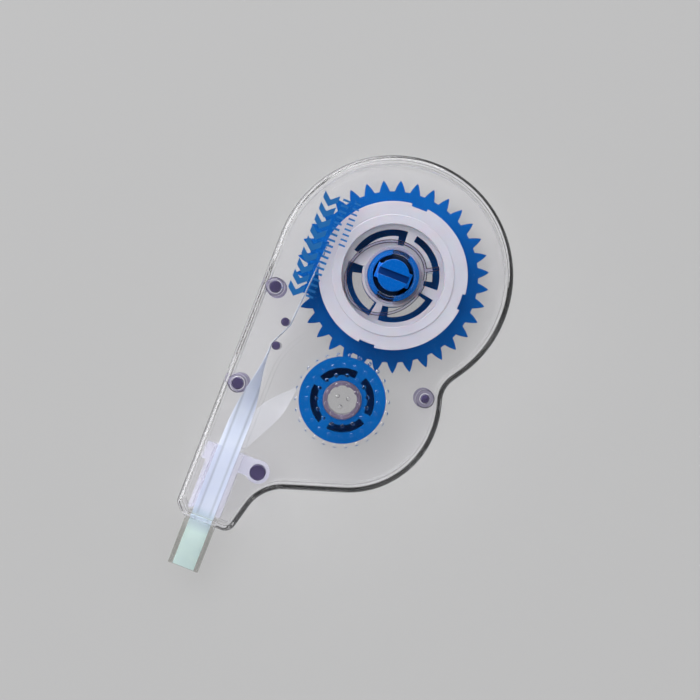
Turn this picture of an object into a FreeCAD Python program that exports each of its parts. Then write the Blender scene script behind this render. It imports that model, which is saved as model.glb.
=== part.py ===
import FreeCAD, Part
import math
import os
import Sketcher
from FreeCAD import Placement, Rotation, Vector

# Correction tape roller lying on its back: +Z is the outward normal of the printed front face,
# the applicator tip points along -Y and the supply wheel is at +Y. Millimetres and degrees.
# The origin is at the middle of the plan, on the back face.

DIMENSIONS = {
    # housing: two clear shells that meet at the parting plane
    "housing_height": 13.0,
    "parting_height": 6.5,
    "wall": 1.2,
    "edge_round": 1.6,
    "lobe_radius": 26.3,
    "knob_hole_radius": 4.6,
    "collar_radius": 5.3,
    "collar_drop": 0.6,
    "mouth_bottom": 4.6,
    "mouth_top": 8.4,
    # axes of the two wheels
    "gear_x": 0.0,
    "gear_y": 25.4,
    "takeup_x": -0.5,
    "takeup_y": -4.2,
    # posts of the back shell
    "axle_radius": 3.0,
    "axle_top": 8.0,
    "tube_radius": 4.25,
    "tube_bore": 3.26,
    "tube_top": 10.9,
    "boss_base_radius": 2.25,
    "boss_base_top": 2.8,
    "boss_pin_radius": 1.35,
    "slim_pin_radius": 1.0,
    "boss_pin_top": 11.2,
    "socket_base": 9.6,
    "socket_outer_radius": 2.05,
    "socket_radius": 1.4,
    "slim_socket_radius": 1.05,
    "guide_pin_radius": 0.95,
    "guide_pin_top": 10.5,
    "holder_post_radius": 1.8,
    "holder_post_top": 9.0,
    # gear pair, involute flanks
    "wheel_base": 1.8,
    "wheel_thickness": 1.6,
    "pressure_angle": 28.0,
    "gear_teeth": 35,
    "gear_tip_radius": 21.6,
    "gear_root_radius": 19.2,
    "gear_tooth_width": 1.155,
    "gear_phase": 1.7,
    "pinion_teeth": 15,
    "pinion_tip_radius": 9.6,
    "pinion_root_radius": 7.8,
    "backlash": 0.2,
    # hub of the gear and the knob in it
    "hub_radius": 5.7,
    "hub_bore": 3.05,
    "hub_shoulder": 8.2,
    "hub_ring_bore": 4.5,
    "hub_top": 10.9,
    "hub_notch_width": 3.9,
    "hub_notch_base": 8.6,
    "knob_seat_radius": 4.45,
    "knob_seat_top": 9.4,
    "knob_radius": 3.5,
    "knob_top": 12.6,
    "knob_bridge_half": 3.95,
    "knob_bridge_width": 3.3,
    "knob_bridge_top": 11.5,
    "coin_slot_width": 1.5,
    "coin_slot_depth": 0.9,
    # supply spool
    "spool_base": 3.6,
    "spool_bore": 5.76,
    "spool_sleeve_radius": 6.5,
    "spool_sleeve_base": 5.5,
    "web_bottom": 7.7,
    "web_top": 8.6,
    "core_inner_radius": 11.4,
    "core_radius": 12.3,
    "flange_bottom": 9.15,
    "flange_top": 9.95,
    "flange_radius": 16.4,
    "flange_notch_width": 3.6,
    "flange_notch_depth": 0.7,
    "rim_radius": 13.4,
    "rim_top": 10.2,
    "window_inner_radius": 6.9,
    "window_outer_radius": 10.3,
    "slim_window_inner_radius": 8.8,
    "gear_window_outer_radius": 9.0,
    "gear_window_angle": 62.0,
    # clutch spring, an oval loop that rubs inside the core of the supply spool
    "spring_bottom": 8.8,
    "spring_top": 9.8,
    "spring_long_half": 9.1,
    "spring_short_half": 7.75,
    "spring_band": 0.7,
    "spring_offset": 1.75,
    "spring_offset_angle": 215.0,
    "spring_long_angle": 228.0,
    "spring_collar_bore": 5.75,
    "spring_collar_radius": 6.3,
    "spring_lug_angle": 5.0,
    "spring_lug_width": 2.0,
    "spring_finger_angle": 30.0,
    "spring_finger_width": 0.9,
    "spring_finger_radius": 10.3,
    "spring_key_width": 3.5,
    "spring_key_radius": 4.7,
    # take-up spool
    "takeup_bore": 4.3,
    "takeup_hub_radius": 5.2,
    "drum_inner_radius": 7.1,
    "drum_radius": 7.7,
    "takeup_flange_bottom": 9.3,
    "takeup_flange_top": 10.1,
    "takeup_flange_radius": 9.6,
    "slot_inner_radius": 5.5,
    "slot_outer_radius": 7.1,
    "slot_bridge_angle": 17.0,
    "slot_turn": 73.0,
    # tape
    "tape_width": 5.0,
    "tape_bottom": 4.0,
    "tape_film": 0.12,
    "supply_roll_radius": 15.8,
    "spent_roll_radius": 8.3,
    "run_gap": 0.2,
    "return_flat_share": 0.35,
    "return_upright_share": 0.85,
    # thin wall between the outgoing tape and the take-up spool
    "rib_radius": 16.4,
    "rib_thickness": 0.8,
    "rib_clearance": 0.8,
    "rib_foot_y": -22.0,
    "rib_top_angle": 138.0,
    # applicator tip and its holder; the channel is centred on tip_x
    "tip_x": -20.0,
    "tip_end_y": -51.7,
    "tip_shoulder_y": -41.2,
    "tip_neck_y": -39.2,
    "tip_rail_half": 3.53,
    "tip_neck_half": 3.2,
    "tip_shank_half": 1.4,
    "tip_shank_top_y": -25.0,
    "tip_rail_thickness": 3.2,
    "tip_rail_thickness_end": 1.0,
    "tip_plate_thickness": 0.9,
    "tip_plate_thickness_end": 0.4,
    "holder_bottom_y": -38.3,
    "holder_top_y": -23.4,
    "holder_half": 3.75,
    "holder_wall": 0.8,
    "holder_base": 3.6,
    "holder_top": 9.4,
    "holder_web": 0.9,
    "holder_slot_half": 1.45,
    "ear_thickness": 1.6,
    "ear_radius": 2.6,
    "ear_hole_radius": 1.84,
    "ear_arm_width": 4.2,
    "latch_reach": 1.25,
    "latch_length": 4.0,
}

# Pins of the back shell that press into sockets of the front shell: place, pin and socket size.
BOSSES = [
    ((-23.2, 13.7), "boss_pin_radius", "socket_radius"),
    ((-23.2, -9.0), "boss_pin_radius", "socket_radius"),
    ((16.3, 2.7), "slim_pin_radius", "slim_socket_radius"),
]
GUIDE_PINS = [(-18.4, 7.3), (-18.4, 1.7)]
HOLDER_POST = (-12.1, -25.9)

# Arc windows of the supply spool's web: first angle, last angle, inner radius. The two slim ones
# reach further in at one end.
SPOOL_WINDOWS = [
    (182.5, 260.0, "window_inner_radius"),
    (272.0, 350.0, "window_inner_radius"),
    (3.0, 24.0, "window_inner_radius"),
    (23.0, 80.0, "slim_window_inner_radius"),
    (102.0, 167.5, "slim_window_inner_radius"),
    (92.0, 103.0, "window_inner_radius"),
]

# Corners of the housing's plan and the radius of each. The first three make the large round lobe.
HOUSING_CORNERS = [
    (-26.3, 51.7, 26.3),
    (26.3, 51.7, 26.3),
    (26.3, 17.5, 26.3),
    (19.2, 6.4, 6.0),
    (21.1, -0.6, 21.0),
    (21.1, -18.3, 20.3),
    (-9.9, -28.5, 9.0),
    (-12.94, -40.3, 2.6),
    (-24.0, -40.3, 1.8),
    (-26.3, -37.9, 2.2),
]

doc = FreeCAD.newDocument("CorrectionTapeRoller")
sheet = doc.addObject("Spreadsheet::Sheet", "Dimensions")
for row, (alias, number) in enumerate(DIMENSIONS.items(), start=1):
    sheet.set(f"A{row}", alias)
    sheet.set(f"B{row}", str(number))
    sheet.setAlias(f"B{row}", alias)
doc.recompute()

SUB_PARTS = []


def size(alias):
    return float(sheet.get(alias))


def cell(alias):
    return f"Dimensions.{alias}"


# ---------------------------------------------------------------- sketch and feature helpers

def new_body(label, x_alias=None, y_alias=None):
    body = doc.addObject("PartDesign::Body", label)
    body.Label = label
    if x_alias:
        body.setExpression("Placement.Base.x", cell(x_alias))
        body.setExpression("Placement.Base.y", cell(y_alias))
    SUB_PARTS.append(body)
    return body


def new_sketch(body, name, height="0", plane="XY_Plane"):
    """A sketch on one of the body's own origin planes, raised along the plane's normal."""
    sketch = body.newObject("Sketcher::SketchObject", f"{body.Label}_{name}")
    support = [item for item in body.Origin.OriginFeatures if item.Role == plane][0]
    sketch.AttachmentSupport = [(support, "")]
    sketch.MapMode = "FlatFace"
    sketch.setExpression("AttachmentOffset.Base.z", height)
    return sketch


def add_circle(sketch, radius_alias, centre=(0.0, 0.0)):
    circle = Part.Circle(Vector(centre[0], centre[1], 0), Vector(0, 0, 1), size(radius_alias))
    index = sketch.addGeometry(circle)
    sketch.addConstraint(Sketcher.Constraint("DistanceX", -1, 1, index, 3, centre[0]))
    sketch.addConstraint(Sketcher.Constraint("DistanceY", -1, 1, index, 3, centre[1]))
    radius = sketch.addConstraint(Sketcher.Constraint("Radius", index, size(radius_alias)))
    sketch.setExpression(f"Constraints[{radius}]", cell(radius_alias))


def add_loop(sketch, points):
    for start, end in zip(points, points[1:] + points[:1]):
        sketch.addGeometry(Part.LineSegment(Vector(*start, 0), Vector(*end, 0)))


def add_box(sketch, x_low, x_high, y_low, y_high):
    add_loop(sketch, [(x_low, y_low), (x_high, y_low), (x_high, y_high), (x_low, y_high)])


def add_arc(sketch, radius, start, end, centre=(0.0, 0.0)):
    circle = Part.Circle(Vector(centre[0], centre[1], 0), Vector(0, 0, 1), radius)
    sketch.addGeometry(Part.ArcOfCircle(circle, math.radians(start), math.radians(end)))


def add_ring_sector(sketch, inner, outer, start, end, centre=(0.0, 0.0)):
    """A slot bounded by two arcs about one centre and two radial edges."""
    add_arc(sketch, inner, start, end, centre)
    add_arc(sketch, outer, start, end, centre)
    for angle in (start, end):
        near, far = polar(inner, angle, centre), polar(outer, angle, centre)
        sketch.addGeometry(Part.LineSegment(Vector(*near, 0), Vector(*far, 0)))


def polar(radius, angle, centre=(0.0, 0.0)):
    turn = math.radians(angle)
    return (centre[0] + radius * math.cos(turn), centre[1] + radius * math.sin(turn))


def add_rounded_outline(sketch, corners):
    """Straight edges joined by one tangent arc at each corner (x, y, radius)."""
    ends = []
    count = len(corners)
    for index in range(count):
        here = Vector(*corners[index][:2], 0)
        before = (Vector(*corners[index - 1][:2], 0) - here).normalize()
        after = (Vector(*corners[(index + 1) % count][:2], 0) - here).normalize()
        half_angle = before.getAngle(after) / 2
        reach = corners[index][2] / math.tan(half_angle)
        middle = (before + after).normalize() * (corners[index][2] / math.sin(half_angle))
        centre = here + middle
        bulge = centre - middle.normalize() * corners[index][2]
        start, end = here + before * reach, here + after * reach
        sketch.addGeometry(Part.Arc(start, bulge, end))
        ends.append((start, end))
    for index in range(count):
        start, end = ends[index][1], ends[(index + 1) % count][0]
        if start.distanceToPoint(end) > 0.001:
            sketch.addGeometry(Part.LineSegment(start, end))


def inset_corners(corners, distance):
    """The same outline moved inwards, for a clockwise list of corners."""
    moved = []
    count = len(corners)
    for index in range(count):
        last, here, following = corners[index - 1], corners[index], corners[(index + 1) % count]
        ahead = Vector(here[0] - last[0], here[1] - last[1], 0).normalize()
        beyond = Vector(following[0] - here[0], following[1] - here[1], 0).normalize()
        turn = ahead.cross(beyond).z
        inward = Vector(ahead.y, -ahead.x, 0) * distance
        slide = distance * math.tan(ahead.getAngle(beyond) / 2) * (1 if turn < 0 else -1)
        corner = Vector(here[0], here[1], 0) + inward - ahead * slide
        radius = here[2] - distance if turn < 0 else here[2] + distance
        moved.append((corner.x, corner.y, radius))
    return moved


def pad(body, sketch, length):
    feature = body.newObject("PartDesign::Pad", f"{sketch.Name}_pad")
    feature.Profile = sketch
    feature.setExpression("Length", length)
    sketch.Visibility = False
    doc.recompute()
    return feature


def pocket(body, sketch, length, upwards=False):
    """Cuts down from the sketch, or up from it, and makes sure that material went away."""
    before = body.Shape.Volume
    feature = body.newObject("PartDesign::Pocket", f"{sketch.Name}_pocket")
    feature.Profile = sketch
    feature.setExpression("Length", length)
    feature.Reversed = upwards
    doc.recompute()
    if body.Shape.Volume > before - 0.01:
        raise RuntimeError(f"{feature.Name} cuts nothing")
    return feature


def round_face_edges(body, height):
    """Rounds the outline of the flat outer face of a shell at the given height."""
    solid = body.Tip
    names = []
    for number, edge in enumerate(solid.Shape.Edges, start=1):
        low, high = edge.BoundBox.ZMin, edge.BoundBox.ZMax
        if abs(low - height) < 0.001 and abs(high - height) < 0.001:
            names.append(f"Edge{number}")
    fillet = body.newObject("PartDesign::Fillet", f"{body.Label}_rounding")
    fillet.Base = (solid, names)
    fillet.setExpression("Radius", cell("edge_round"))
    doc.recompute()


# ---------------------------------------------------------------- the two shells

def holder_seats(sketch):
    """Two short rails over the side walls of the tip holder, which the shells clamp."""
    wall, half, x = size("holder_wall"), size("holder_half"), size("tip_x")
    low, high = size("holder_bottom_y") + 1.0, size("holder_top_y") - 1.0
    add_box(sketch, x - half, x - half + wall, low, high)
    add_box(sketch, x + half - wall, x + half, low, high)


def mouth_gap(sketch):
    """The gap in the end wall that the applicator tip passes through."""
    x, half = size("tip_x"), size("tip_neck_half") + 0.4
    low = min(corner[1] for corner in HOUSING_CORNERS)
    add_box(sketch, x - half, x + half, low - 1.0, low + size("wall") + 0.2)


def make_back_shell():
    body = new_body("back_shell")
    outline = new_sketch(body, "outline")
    add_rounded_outline(outline, HOUSING_CORNERS)
    pad(body, outline, cell("parting_height"))
    round_face_edges(body, 0.0)

    hollow = new_sketch(body, "hollow", cell("parting_height"))
    add_rounded_outline(hollow, inset_corners(HOUSING_CORNERS, size("wall")))
    pocket(body, hollow, "Dimensions.parting_height - Dimensions.wall")

    axle = new_sketch(body, "axle", cell("wall"))
    add_circle(axle, "axle_radius", (size("gear_x"), size("gear_y")))
    pad(body, axle, "Dimensions.axle_top - Dimensions.wall")

    tube = new_sketch(body, "tube", cell("wall"))
    takeup = (size("takeup_x"), size("takeup_y"))
    add_circle(tube, "tube_radius", takeup)
    add_circle(tube, "tube_bore", takeup)
    pad(body, tube, "Dimensions.tube_top - Dimensions.wall")

    bases = new_sketch(body, "boss_bases", cell("wall"))
    pins = new_sketch(body, "boss_pins", cell("boss_base_top"))
    for place, pin_radius, _ in BOSSES:
        add_circle(bases, "boss_base_radius", place)
        add_circle(pins, pin_radius, place)
    pad(body, bases, "Dimensions.boss_base_top - Dimensions.wall")
    pad(body, pins, "Dimensions.boss_pin_top - Dimensions.boss_base_top")

    guides = new_sketch(body, "guide_pins", cell("wall"))
    for place in GUIDE_PINS:
        add_circle(guides, "guide_pin_radius", place)
    pad(body, guides, "Dimensions.guide_pin_top - Dimensions.wall")

    post = new_sketch(body, "holder_post", cell("wall"))
    add_circle(post, "holder_post_radius", HOLDER_POST)
    pad(body, post, "Dimensions.holder_post_top - Dimensions.wall")

    seats = new_sketch(body, "holder_seats", cell("wall"))
    holder_seats(seats)
    pad(body, seats, "Dimensions.holder_base - Dimensions.wall")

    mouth = new_sketch(body, "mouth", cell("parting_height"))
    mouth_gap(mouth)
    pocket(body, mouth, "Dimensions.parting_height - Dimensions.mouth_bottom")


def add_tape_rib(sketch):
    """A thin wall between the outgoing tape and the take-up spool: straight, then an arc."""
    centre = (size("takeup_x"), size("takeup_y"))
    radius, half = size("rib_radius"), size("rib_thickness") / 2
    foot, top_angle = size("rib_foot_y"), size("rib_top_angle")
    add_arc(sketch, radius - half, top_angle, 180.0, centre)
    add_arc(sketch, radius + half, top_angle, 180.0, centre)
    left, right = centre[0] - radius - half, centre[0] - radius + half
    knee = centre[1]
    ends = [polar(radius - half, top_angle, centre), polar(radius + half, top_angle, centre)]
    for start, end in (
        ((left, knee), (left, foot)),
        ((left, foot), (right, foot)),
        ((right, foot), (right, knee)),
        tuple(ends),
    ):
        sketch.addGeometry(Part.LineSegment(Vector(*start, 0), Vector(*end, 0)))


def make_front_shell():
    body = new_body("front_shell")
    outline = new_sketch(body, "outline", cell("parting_height"))
    add_rounded_outline(outline, HOUSING_CORNERS)
    pad(body, outline, "Dimensions.housing_height - Dimensions.parting_height")
    round_face_edges(body, size("housing_height"))

    depth = "Dimensions.housing_height - Dimensions.parting_height - Dimensions.wall"
    hollow = new_sketch(body, "hollow", cell("parting_height"))
    add_rounded_outline(hollow, inset_corners(HOUSING_CORNERS, size("wall")))
    pocket(body, hollow, depth, upwards=True)

    ceiling = "Dimensions.housing_height - Dimensions.wall"
    sockets = new_sketch(body, "sockets", cell("socket_base"))
    for place, _, socket_radius in BOSSES:
        add_circle(sockets, "socket_outer_radius", place)
        add_circle(sockets, socket_radius, place)
    pad(body, sockets, ceiling + " - Dimensions.socket_base")

    rib = new_sketch(body, "tape_rib", "Dimensions.parting_height + Dimensions.rib_clearance")
    add_tape_rib(rib)
    pad(body, rib, depth + " - Dimensions.rib_clearance")

    seats = new_sketch(body, "holder_seats", cell("holder_top"))
    holder_seats(seats)
    pad(body, seats, ceiling + " - Dimensions.holder_top")

    gear_axis = (size("gear_x"), size("gear_y"))
    collar = new_sketch(body, "knob_collar", ceiling + " - Dimensions.collar_drop")
    add_circle(collar, "collar_radius", gear_axis)
    pad(body, collar, cell("collar_drop"))
    hole = new_sketch(body, "knob_hole", cell("housing_height"))
    add_circle(hole, "knob_hole_radius", gear_axis)
    pocket(body, hole, "Dimensions.wall + Dimensions.collar_drop + 0.1")

    mouth = new_sketch(body, "mouth", cell("parting_height"))
    mouth_gap(mouth)
    pocket(body, mouth, "Dimensions.mouth_top - Dimensions.parting_height", upwards=True)


# ---------------------------------------------------------------- gear pair

def involute(angle):
    return math.tan(angle) - angle


def add_tooth(sketch, teeth, tip_radius, root_radius, pitch_width, middle_angle):
    """One tooth with involute flanks about the origin, rooted a little inside the root circle."""
    spacing = math.hypot(size("takeup_x") - size("gear_x"), size("takeup_y") - size("gear_y"))
    pitch_radius = spacing * teeth / (size("gear_teeth") + size("pinion_teeth"))
    pressure = math.radians(size("pressure_angle"))
    base_radius = pitch_radius * math.cos(pressure)

    def half_width(radius):
        flank = math.acos(min(1.0, base_radius / radius))
        half = pitch_width / (2 * pitch_radius) + involute(pressure) - involute(flank)
        return math.degrees(half)

    steps = 5
    radii = [root_radius + (tip_radius - root_radius) * step / steps for step in range(steps + 1)]
    sides = []
    for hand in (-1, 1):
        points = [Vector(*polar(r, middle_angle + hand * half_width(r)), 0) for r in radii]
        flank = Part.BSplineCurve()
        flank.interpolate(points)
        sketch.addGeometry(flank)
        sides.append(points)
    sketch.addGeometry(Part.LineSegment(sides[0][-1], sides[1][-1]))
    foot = [Vector(*polar(root_radius - 1.0, middle_angle + hand * half_width(root_radius)), 0)
            for hand in (-1, 1)]
    sketch.addGeometry(Part.LineSegment(sides[0][0], foot[0]))
    sketch.addGeometry(Part.LineSegment(foot[0], foot[1]))
    sketch.addGeometry(Part.LineSegment(foot[1], sides[1][0]))


def add_teeth(body, alias_prefix, pitch_width, middle_angle):
    """Pads one tooth and repeats it round the body's own axis."""
    teeth = int(size(f"{alias_prefix}_teeth"))
    sketch = new_sketch(body, "tooth", cell("wheel_base"))
    tip, root = size(f"{alias_prefix}_tip_radius"), size(f"{alias_prefix}_root_radius")
    add_tooth(sketch, teeth, tip, root, pitch_width, middle_angle)
    tooth = pad(body, sketch, cell("wheel_thickness"))
    pattern = body.newObject("PartDesign::PolarPattern", f"{body.Label}_teeth")
    pattern.Originals = [tooth]
    pattern.Axis = (sketch, ["N_Axis"])
    pattern.Angle = 360
    pattern.setExpression("Occurrences", cell(f"{alias_prefix}_teeth"))
    body.Tip = pattern
    doc.recompute()


def centre_line_angle():
    return math.degrees(math.atan2(size("takeup_y") - size("gear_y"),
                                   size("takeup_x") - size("gear_x")))


def make_supply_gear():
    body = new_body("supply_gear", "gear_x", "gear_y")
    disc = new_sketch(body, "disc", cell("wheel_base"))
    add_circle(disc, "gear_root_radius")
    add_circle(disc, "hub_bore")
    pad(body, disc, cell("wheel_thickness"))
    tooth_angle = centre_line_angle() + size("gear_phase")
    add_teeth(body, "gear", size("gear_tooth_width"), tooth_angle)

    windows = new_sketch(body, "windows", "Dimensions.wheel_base + Dimensions.wheel_thickness")
    half = size("gear_window_angle") / 2
    inner, outer = size("window_inner_radius"), size("gear_window_outer_radius")
    for middle in (45, 135, 225, 315):
        add_ring_sector(windows, inner, outer, middle - half, middle + half)
    pocket(body, windows, "Dimensions.wheel_thickness + 0.1")

    hub = new_sketch(body, "hub", cell("wheel_base"))
    add_circle(hub, "hub_radius")
    add_circle(hub, "hub_bore")
    pad(body, hub, "Dimensions.hub_shoulder - Dimensions.wheel_base")
    ring = new_sketch(body, "hub_ring", cell("hub_shoulder"))
    add_circle(ring, "hub_radius")
    add_circle(ring, "hub_ring_bore")
    pad(body, ring, "Dimensions.hub_top - Dimensions.hub_shoulder")
    notches = new_sketch(body, "hub_notches", cell("hub_top"))
    half, near, far = size("hub_notch_width") / 2, size("hub_ring_bore") - 1.0, size("hub_radius") + 1.0
    add_box(notches, -half, half, near, far)
    add_box(notches, -half, half, -far, -near)
    pocket(body, notches, "Dimensions.hub_top - Dimensions.hub_notch_base")


def make_tension_knob():
    body = new_body("tension_knob", "gear_x", "gear_y")
    seat = new_sketch(body, "seat", cell("hub_shoulder"))
    add_circle(seat, "knob_seat_radius")
    pad(body, seat, "Dimensions.knob_seat_top - Dimensions.hub_shoulder")
    head = new_sketch(body, "head", cell("knob_seat_top"))
    add_circle(head, "knob_radius")
    pad(body, head, "Dimensions.knob_top - Dimensions.knob_seat_top")
    bridges = new_sketch(body, "bridges", cell("knob_seat_top"))
    reach, half = size("knob_bridge_half"), size("knob_bridge_width") / 2
    add_box(bridges, -reach, reach, -half, half)
    pad(body, bridges, "Dimensions.knob_bridge_top - Dimensions.knob_seat_top")
    slot = new_sketch(body, "coin_slot", cell("knob_top"))
    half = size("coin_slot_width") / 2
    add_box(slot, -reach, reach, -half, half)
    pocket(body, slot, cell("coin_slot_depth"))


# ---------------------------------------------------------------- supply spool and its clutch

def make_supply_spool():
    body = new_body("supply_spool", "gear_x", "gear_y")
    core = new_sketch(body, "core", cell("spool_base"))
    add_circle(core, "core_radius")
    add_circle(core, "core_inner_radius")
    pad(body, core, "Dimensions.flange_top - Dimensions.spool_base")
    flange = new_sketch(body, "flange", cell("flange_bottom"))
    add_circle(flange, "flange_radius")
    add_circle(flange, "core_inner_radius")
    pad(body, flange, "Dimensions.flange_top - Dimensions.flange_bottom")
    rim = new_sketch(body, "rim", cell("flange_top"))
    add_circle(rim, "rim_radius")
    add_circle(rim, "core_inner_radius")
    pad(body, rim, "Dimensions.rim_top - Dimensions.flange_top")

    web = new_sketch(body, "web", cell("web_bottom"))
    add_circle(web, "core_inner_radius")
    add_circle(web, "spool_bore")
    pad(body, web, "Dimensions.web_top - Dimensions.web_bottom")
    sleeve = new_sketch(body, "sleeve", cell("spool_sleeve_base"))
    add_circle(sleeve, "spool_sleeve_radius")
    add_circle(sleeve, "spool_bore")
    pad(body, sleeve, "Dimensions.web_bottom - Dimensions.spool_sleeve_base")
    for number, (start, end, inner_alias) in enumerate(SPOOL_WINDOWS):
        window = new_sketch(body, f"window_{number}", cell("web_top"))
        add_ring_sector(window, size(inner_alias), size("window_outer_radius"), start, end)
        pocket(body, window, "Dimensions.web_top - Dimensions.web_bottom + 0.1")

    notches = new_sketch(body, "notches", cell("flange_top"))
    far = size("flange_radius") + 1.0
    near = size("flange_radius") - size("flange_notch_depth")
    half = size("flange_notch_width") / 2
    add_box(notches, near, far, -half, half)
    add_box(notches, -far, -near, -half, half)
    add_box(notches, -half, half, near, far)
    add_box(notches, -half, half, -far, -near)
    pocket(body, notches, "Dimensions.flange_top - Dimensions.flange_bottom + 0.1")


def make_roll(label, axis, inner_alias, outer_alias):
    body = new_body(label, f"{axis}_x", f"{axis}_y")
    winding = new_sketch(body, "winding", cell("tape_bottom"))
    add_circle(winding, outer_alias)
    add_circle(winding, inner_alias)
    pad(body, winding, cell("tape_width"))


def add_radial_bar(sketch, angle, near, far, width):
    ahead = Vector(*polar(1.0, angle), 0)
    aside = Vector(-ahead.y, ahead.x, 0) * (width / 2)
    corners = [ahead * near + aside, ahead * far + aside, ahead * far - aside, ahead * near - aside]
    add_loop(sketch, [(corner.x, corner.y) for corner in corners])


def make_clutch_spring():
    """The oval loop, the collar that keys it to the gear's hub, and a finger over a window."""
    body = new_body("clutch_spring", "gear_x", "gear_y")
    height = "Dimensions.spring_top - Dimensions.spring_bottom"
    long_half, short_half = size("spring_long_half"), size("spring_short_half")
    band = size("spring_band") / 2
    offset = size("spring_offset")
    centre = Vector(*polar(offset, size("spring_offset_angle")), 0)
    loop = new_sketch(body, "loop", cell("spring_bottom"))
    for step in (-band, band):
        along = Vector(*polar(long_half + step, size("spring_long_angle")), 0)
        across = Vector(*polar(short_half + step, size("spring_long_angle") + 90), 0)
        loop.addGeometry(Part.Ellipse(centre + along, centre + across, centre))
    pad(body, loop, height)

    finger = new_sketch(body, "finger", cell("spring_bottom"))
    add_radial_bar(finger, size("spring_finger_angle"), long_half - offset, size("spring_finger_radius"),
                   size("spring_finger_width"))
    pad(body, finger, height)
    lug = new_sketch(body, "lug", cell("spring_bottom"))
    bore = size("spring_collar_bore")
    add_radial_bar(lug, size("spring_lug_angle"), bore + 0.3, short_half - 0.7,
                   size("spring_lug_width"))
    pad(body, lug, height)
    collar = new_sketch(body, "collar", cell("spring_bottom"))
    add_circle(collar, "spring_collar_radius")
    add_circle(collar, "spring_collar_bore")
    pad(body, collar, height)
    keys = new_sketch(body, "keys", cell("spring_bottom"))
    for angle in (90, 270):
        add_radial_bar(keys, angle, size("spring_key_radius"), bore + 0.3, size("spring_key_width"))
    pad(body, keys, height)


# ---------------------------------------------------------------- take-up spool

def make_take_up_spool():
    body = new_body("take_up_spool", "takeup_x", "takeup_y")
    disc = new_sketch(body, "disc", cell("wheel_base"))
    add_circle(disc, "pinion_root_radius")
    add_circle(disc, "takeup_bore")
    pad(body, disc, cell("wheel_thickness"))

    teeth = size("pinion_teeth")
    spacing = math.hypot(size("takeup_x") - size("gear_x"), size("takeup_y") - size("gear_y"))
    circular_pitch = 2 * math.pi * spacing / (size("gear_teeth") + teeth)
    width = circular_pitch - size("gear_tooth_width") - size("backlash")
    meshing = centre_line_angle() + 180 - size("gear_phase") * size("gear_teeth") / teeth
    add_teeth(body, "pinion", width, meshing + 180 / teeth)

    hub = new_sketch(body, "hub", cell("wheel_base"))
    add_circle(hub, "takeup_hub_radius")
    add_circle(hub, "takeup_bore")
    pad(body, hub, "Dimensions.takeup_flange_top - Dimensions.wheel_base")
    drum = new_sketch(body, "drum", cell("wheel_base"))
    add_circle(drum, "drum_radius")
    add_circle(drum, "drum_inner_radius")
    pad(body, drum, "Dimensions.takeup_flange_bottom - Dimensions.wheel_base")
    flange = new_sketch(body, "flange", cell("takeup_flange_bottom"))
    add_circle(flange, "takeup_flange_radius")
    add_circle(flange, "takeup_bore")
    pad(body, flange, "Dimensions.takeup_flange_top - Dimensions.takeup_flange_bottom")

    slots = new_sketch(body, "slots", cell("takeup_flange_top"))
    half_bridge = size("slot_bridge_angle") / 2
    for quarter in range(4):
        start = size("slot_turn") + 90 * quarter + half_bridge
        end = start + 90 - size("slot_bridge_angle")
        add_ring_sector(slots, size("slot_inner_radius"), size("slot_outer_radius"), start, end)
    pocket(body, slots, "Dimensions.takeup_flange_top - Dimensions.takeup_flange_bottom + 0.1")


# ---------------------------------------------------------------- applicator tip and its holder

def make_tip_holder():
    body = new_body("tip_holder")
    x, half = size("tip_x"), size("holder_half")
    low, high = size("holder_bottom_y"), size("holder_top_y")
    middle = "Dimensions.parting_height - Dimensions.holder_web / 2"

    web = new_sketch(body, "web", middle)
    add_box(web, x - half, x + half, low, high)
    pad(body, web, cell("holder_web"))
    walls = new_sketch(body, "walls", cell("holder_base"))
    wall = size("holder_wall")
    add_box(walls, x - half, x - half + wall, low, high)
    add_box(walls, x + half - wall, x + half, low, high)
    pad(body, walls, "Dimensions.holder_top - Dimensions.holder_base")

    ear_base = "Dimensions.parting_height - Dimensions.ear_thickness / 2"
    arm = new_sketch(body, "arm", ear_base)
    add_box(arm, x + half - wall, HOLDER_POST[0], high - size("ear_arm_width"), high)
    add_box(arm, x - half - size("latch_reach"), x - half + wall / 2,
            high - size("latch_length"), high)
    pad(body, arm, cell("ear_thickness"))
    ear = new_sketch(body, "ear", ear_base)
    add_circle(ear, "ear_radius", HOLDER_POST)
    pad(body, ear, cell("ear_thickness"))
    hole = new_sketch(body, "ear_hole", ear_base + " + Dimensions.ear_thickness")
    add_circle(hole, "ear_hole_radius", HOLDER_POST)
    pocket(body, hole, "Dimensions.ear_thickness + 0.1")

    slot = new_sketch(body, "shank_slot", middle + " + Dimensions.holder_web")
    slot_half = size("holder_slot_half")
    add_box(slot, x - slot_half, x + slot_half, low - 1.0, size("tip_shank_top_y") + 0.1)
    pocket(body, slot, "Dimensions.holder_web + 0.1")


def add_wedge(sketch, y_thick, y_thin, thick, thin):
    """A side view in the YZ plane that tapers about the parting plane."""
    middle = size("parting_height")
    add_loop(sketch, [
        (y_thick, middle - thick / 2), (y_thick, middle + thick / 2),
        (y_thin, middle + thin / 2), (y_thin, middle - thin / 2),
    ])


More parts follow.
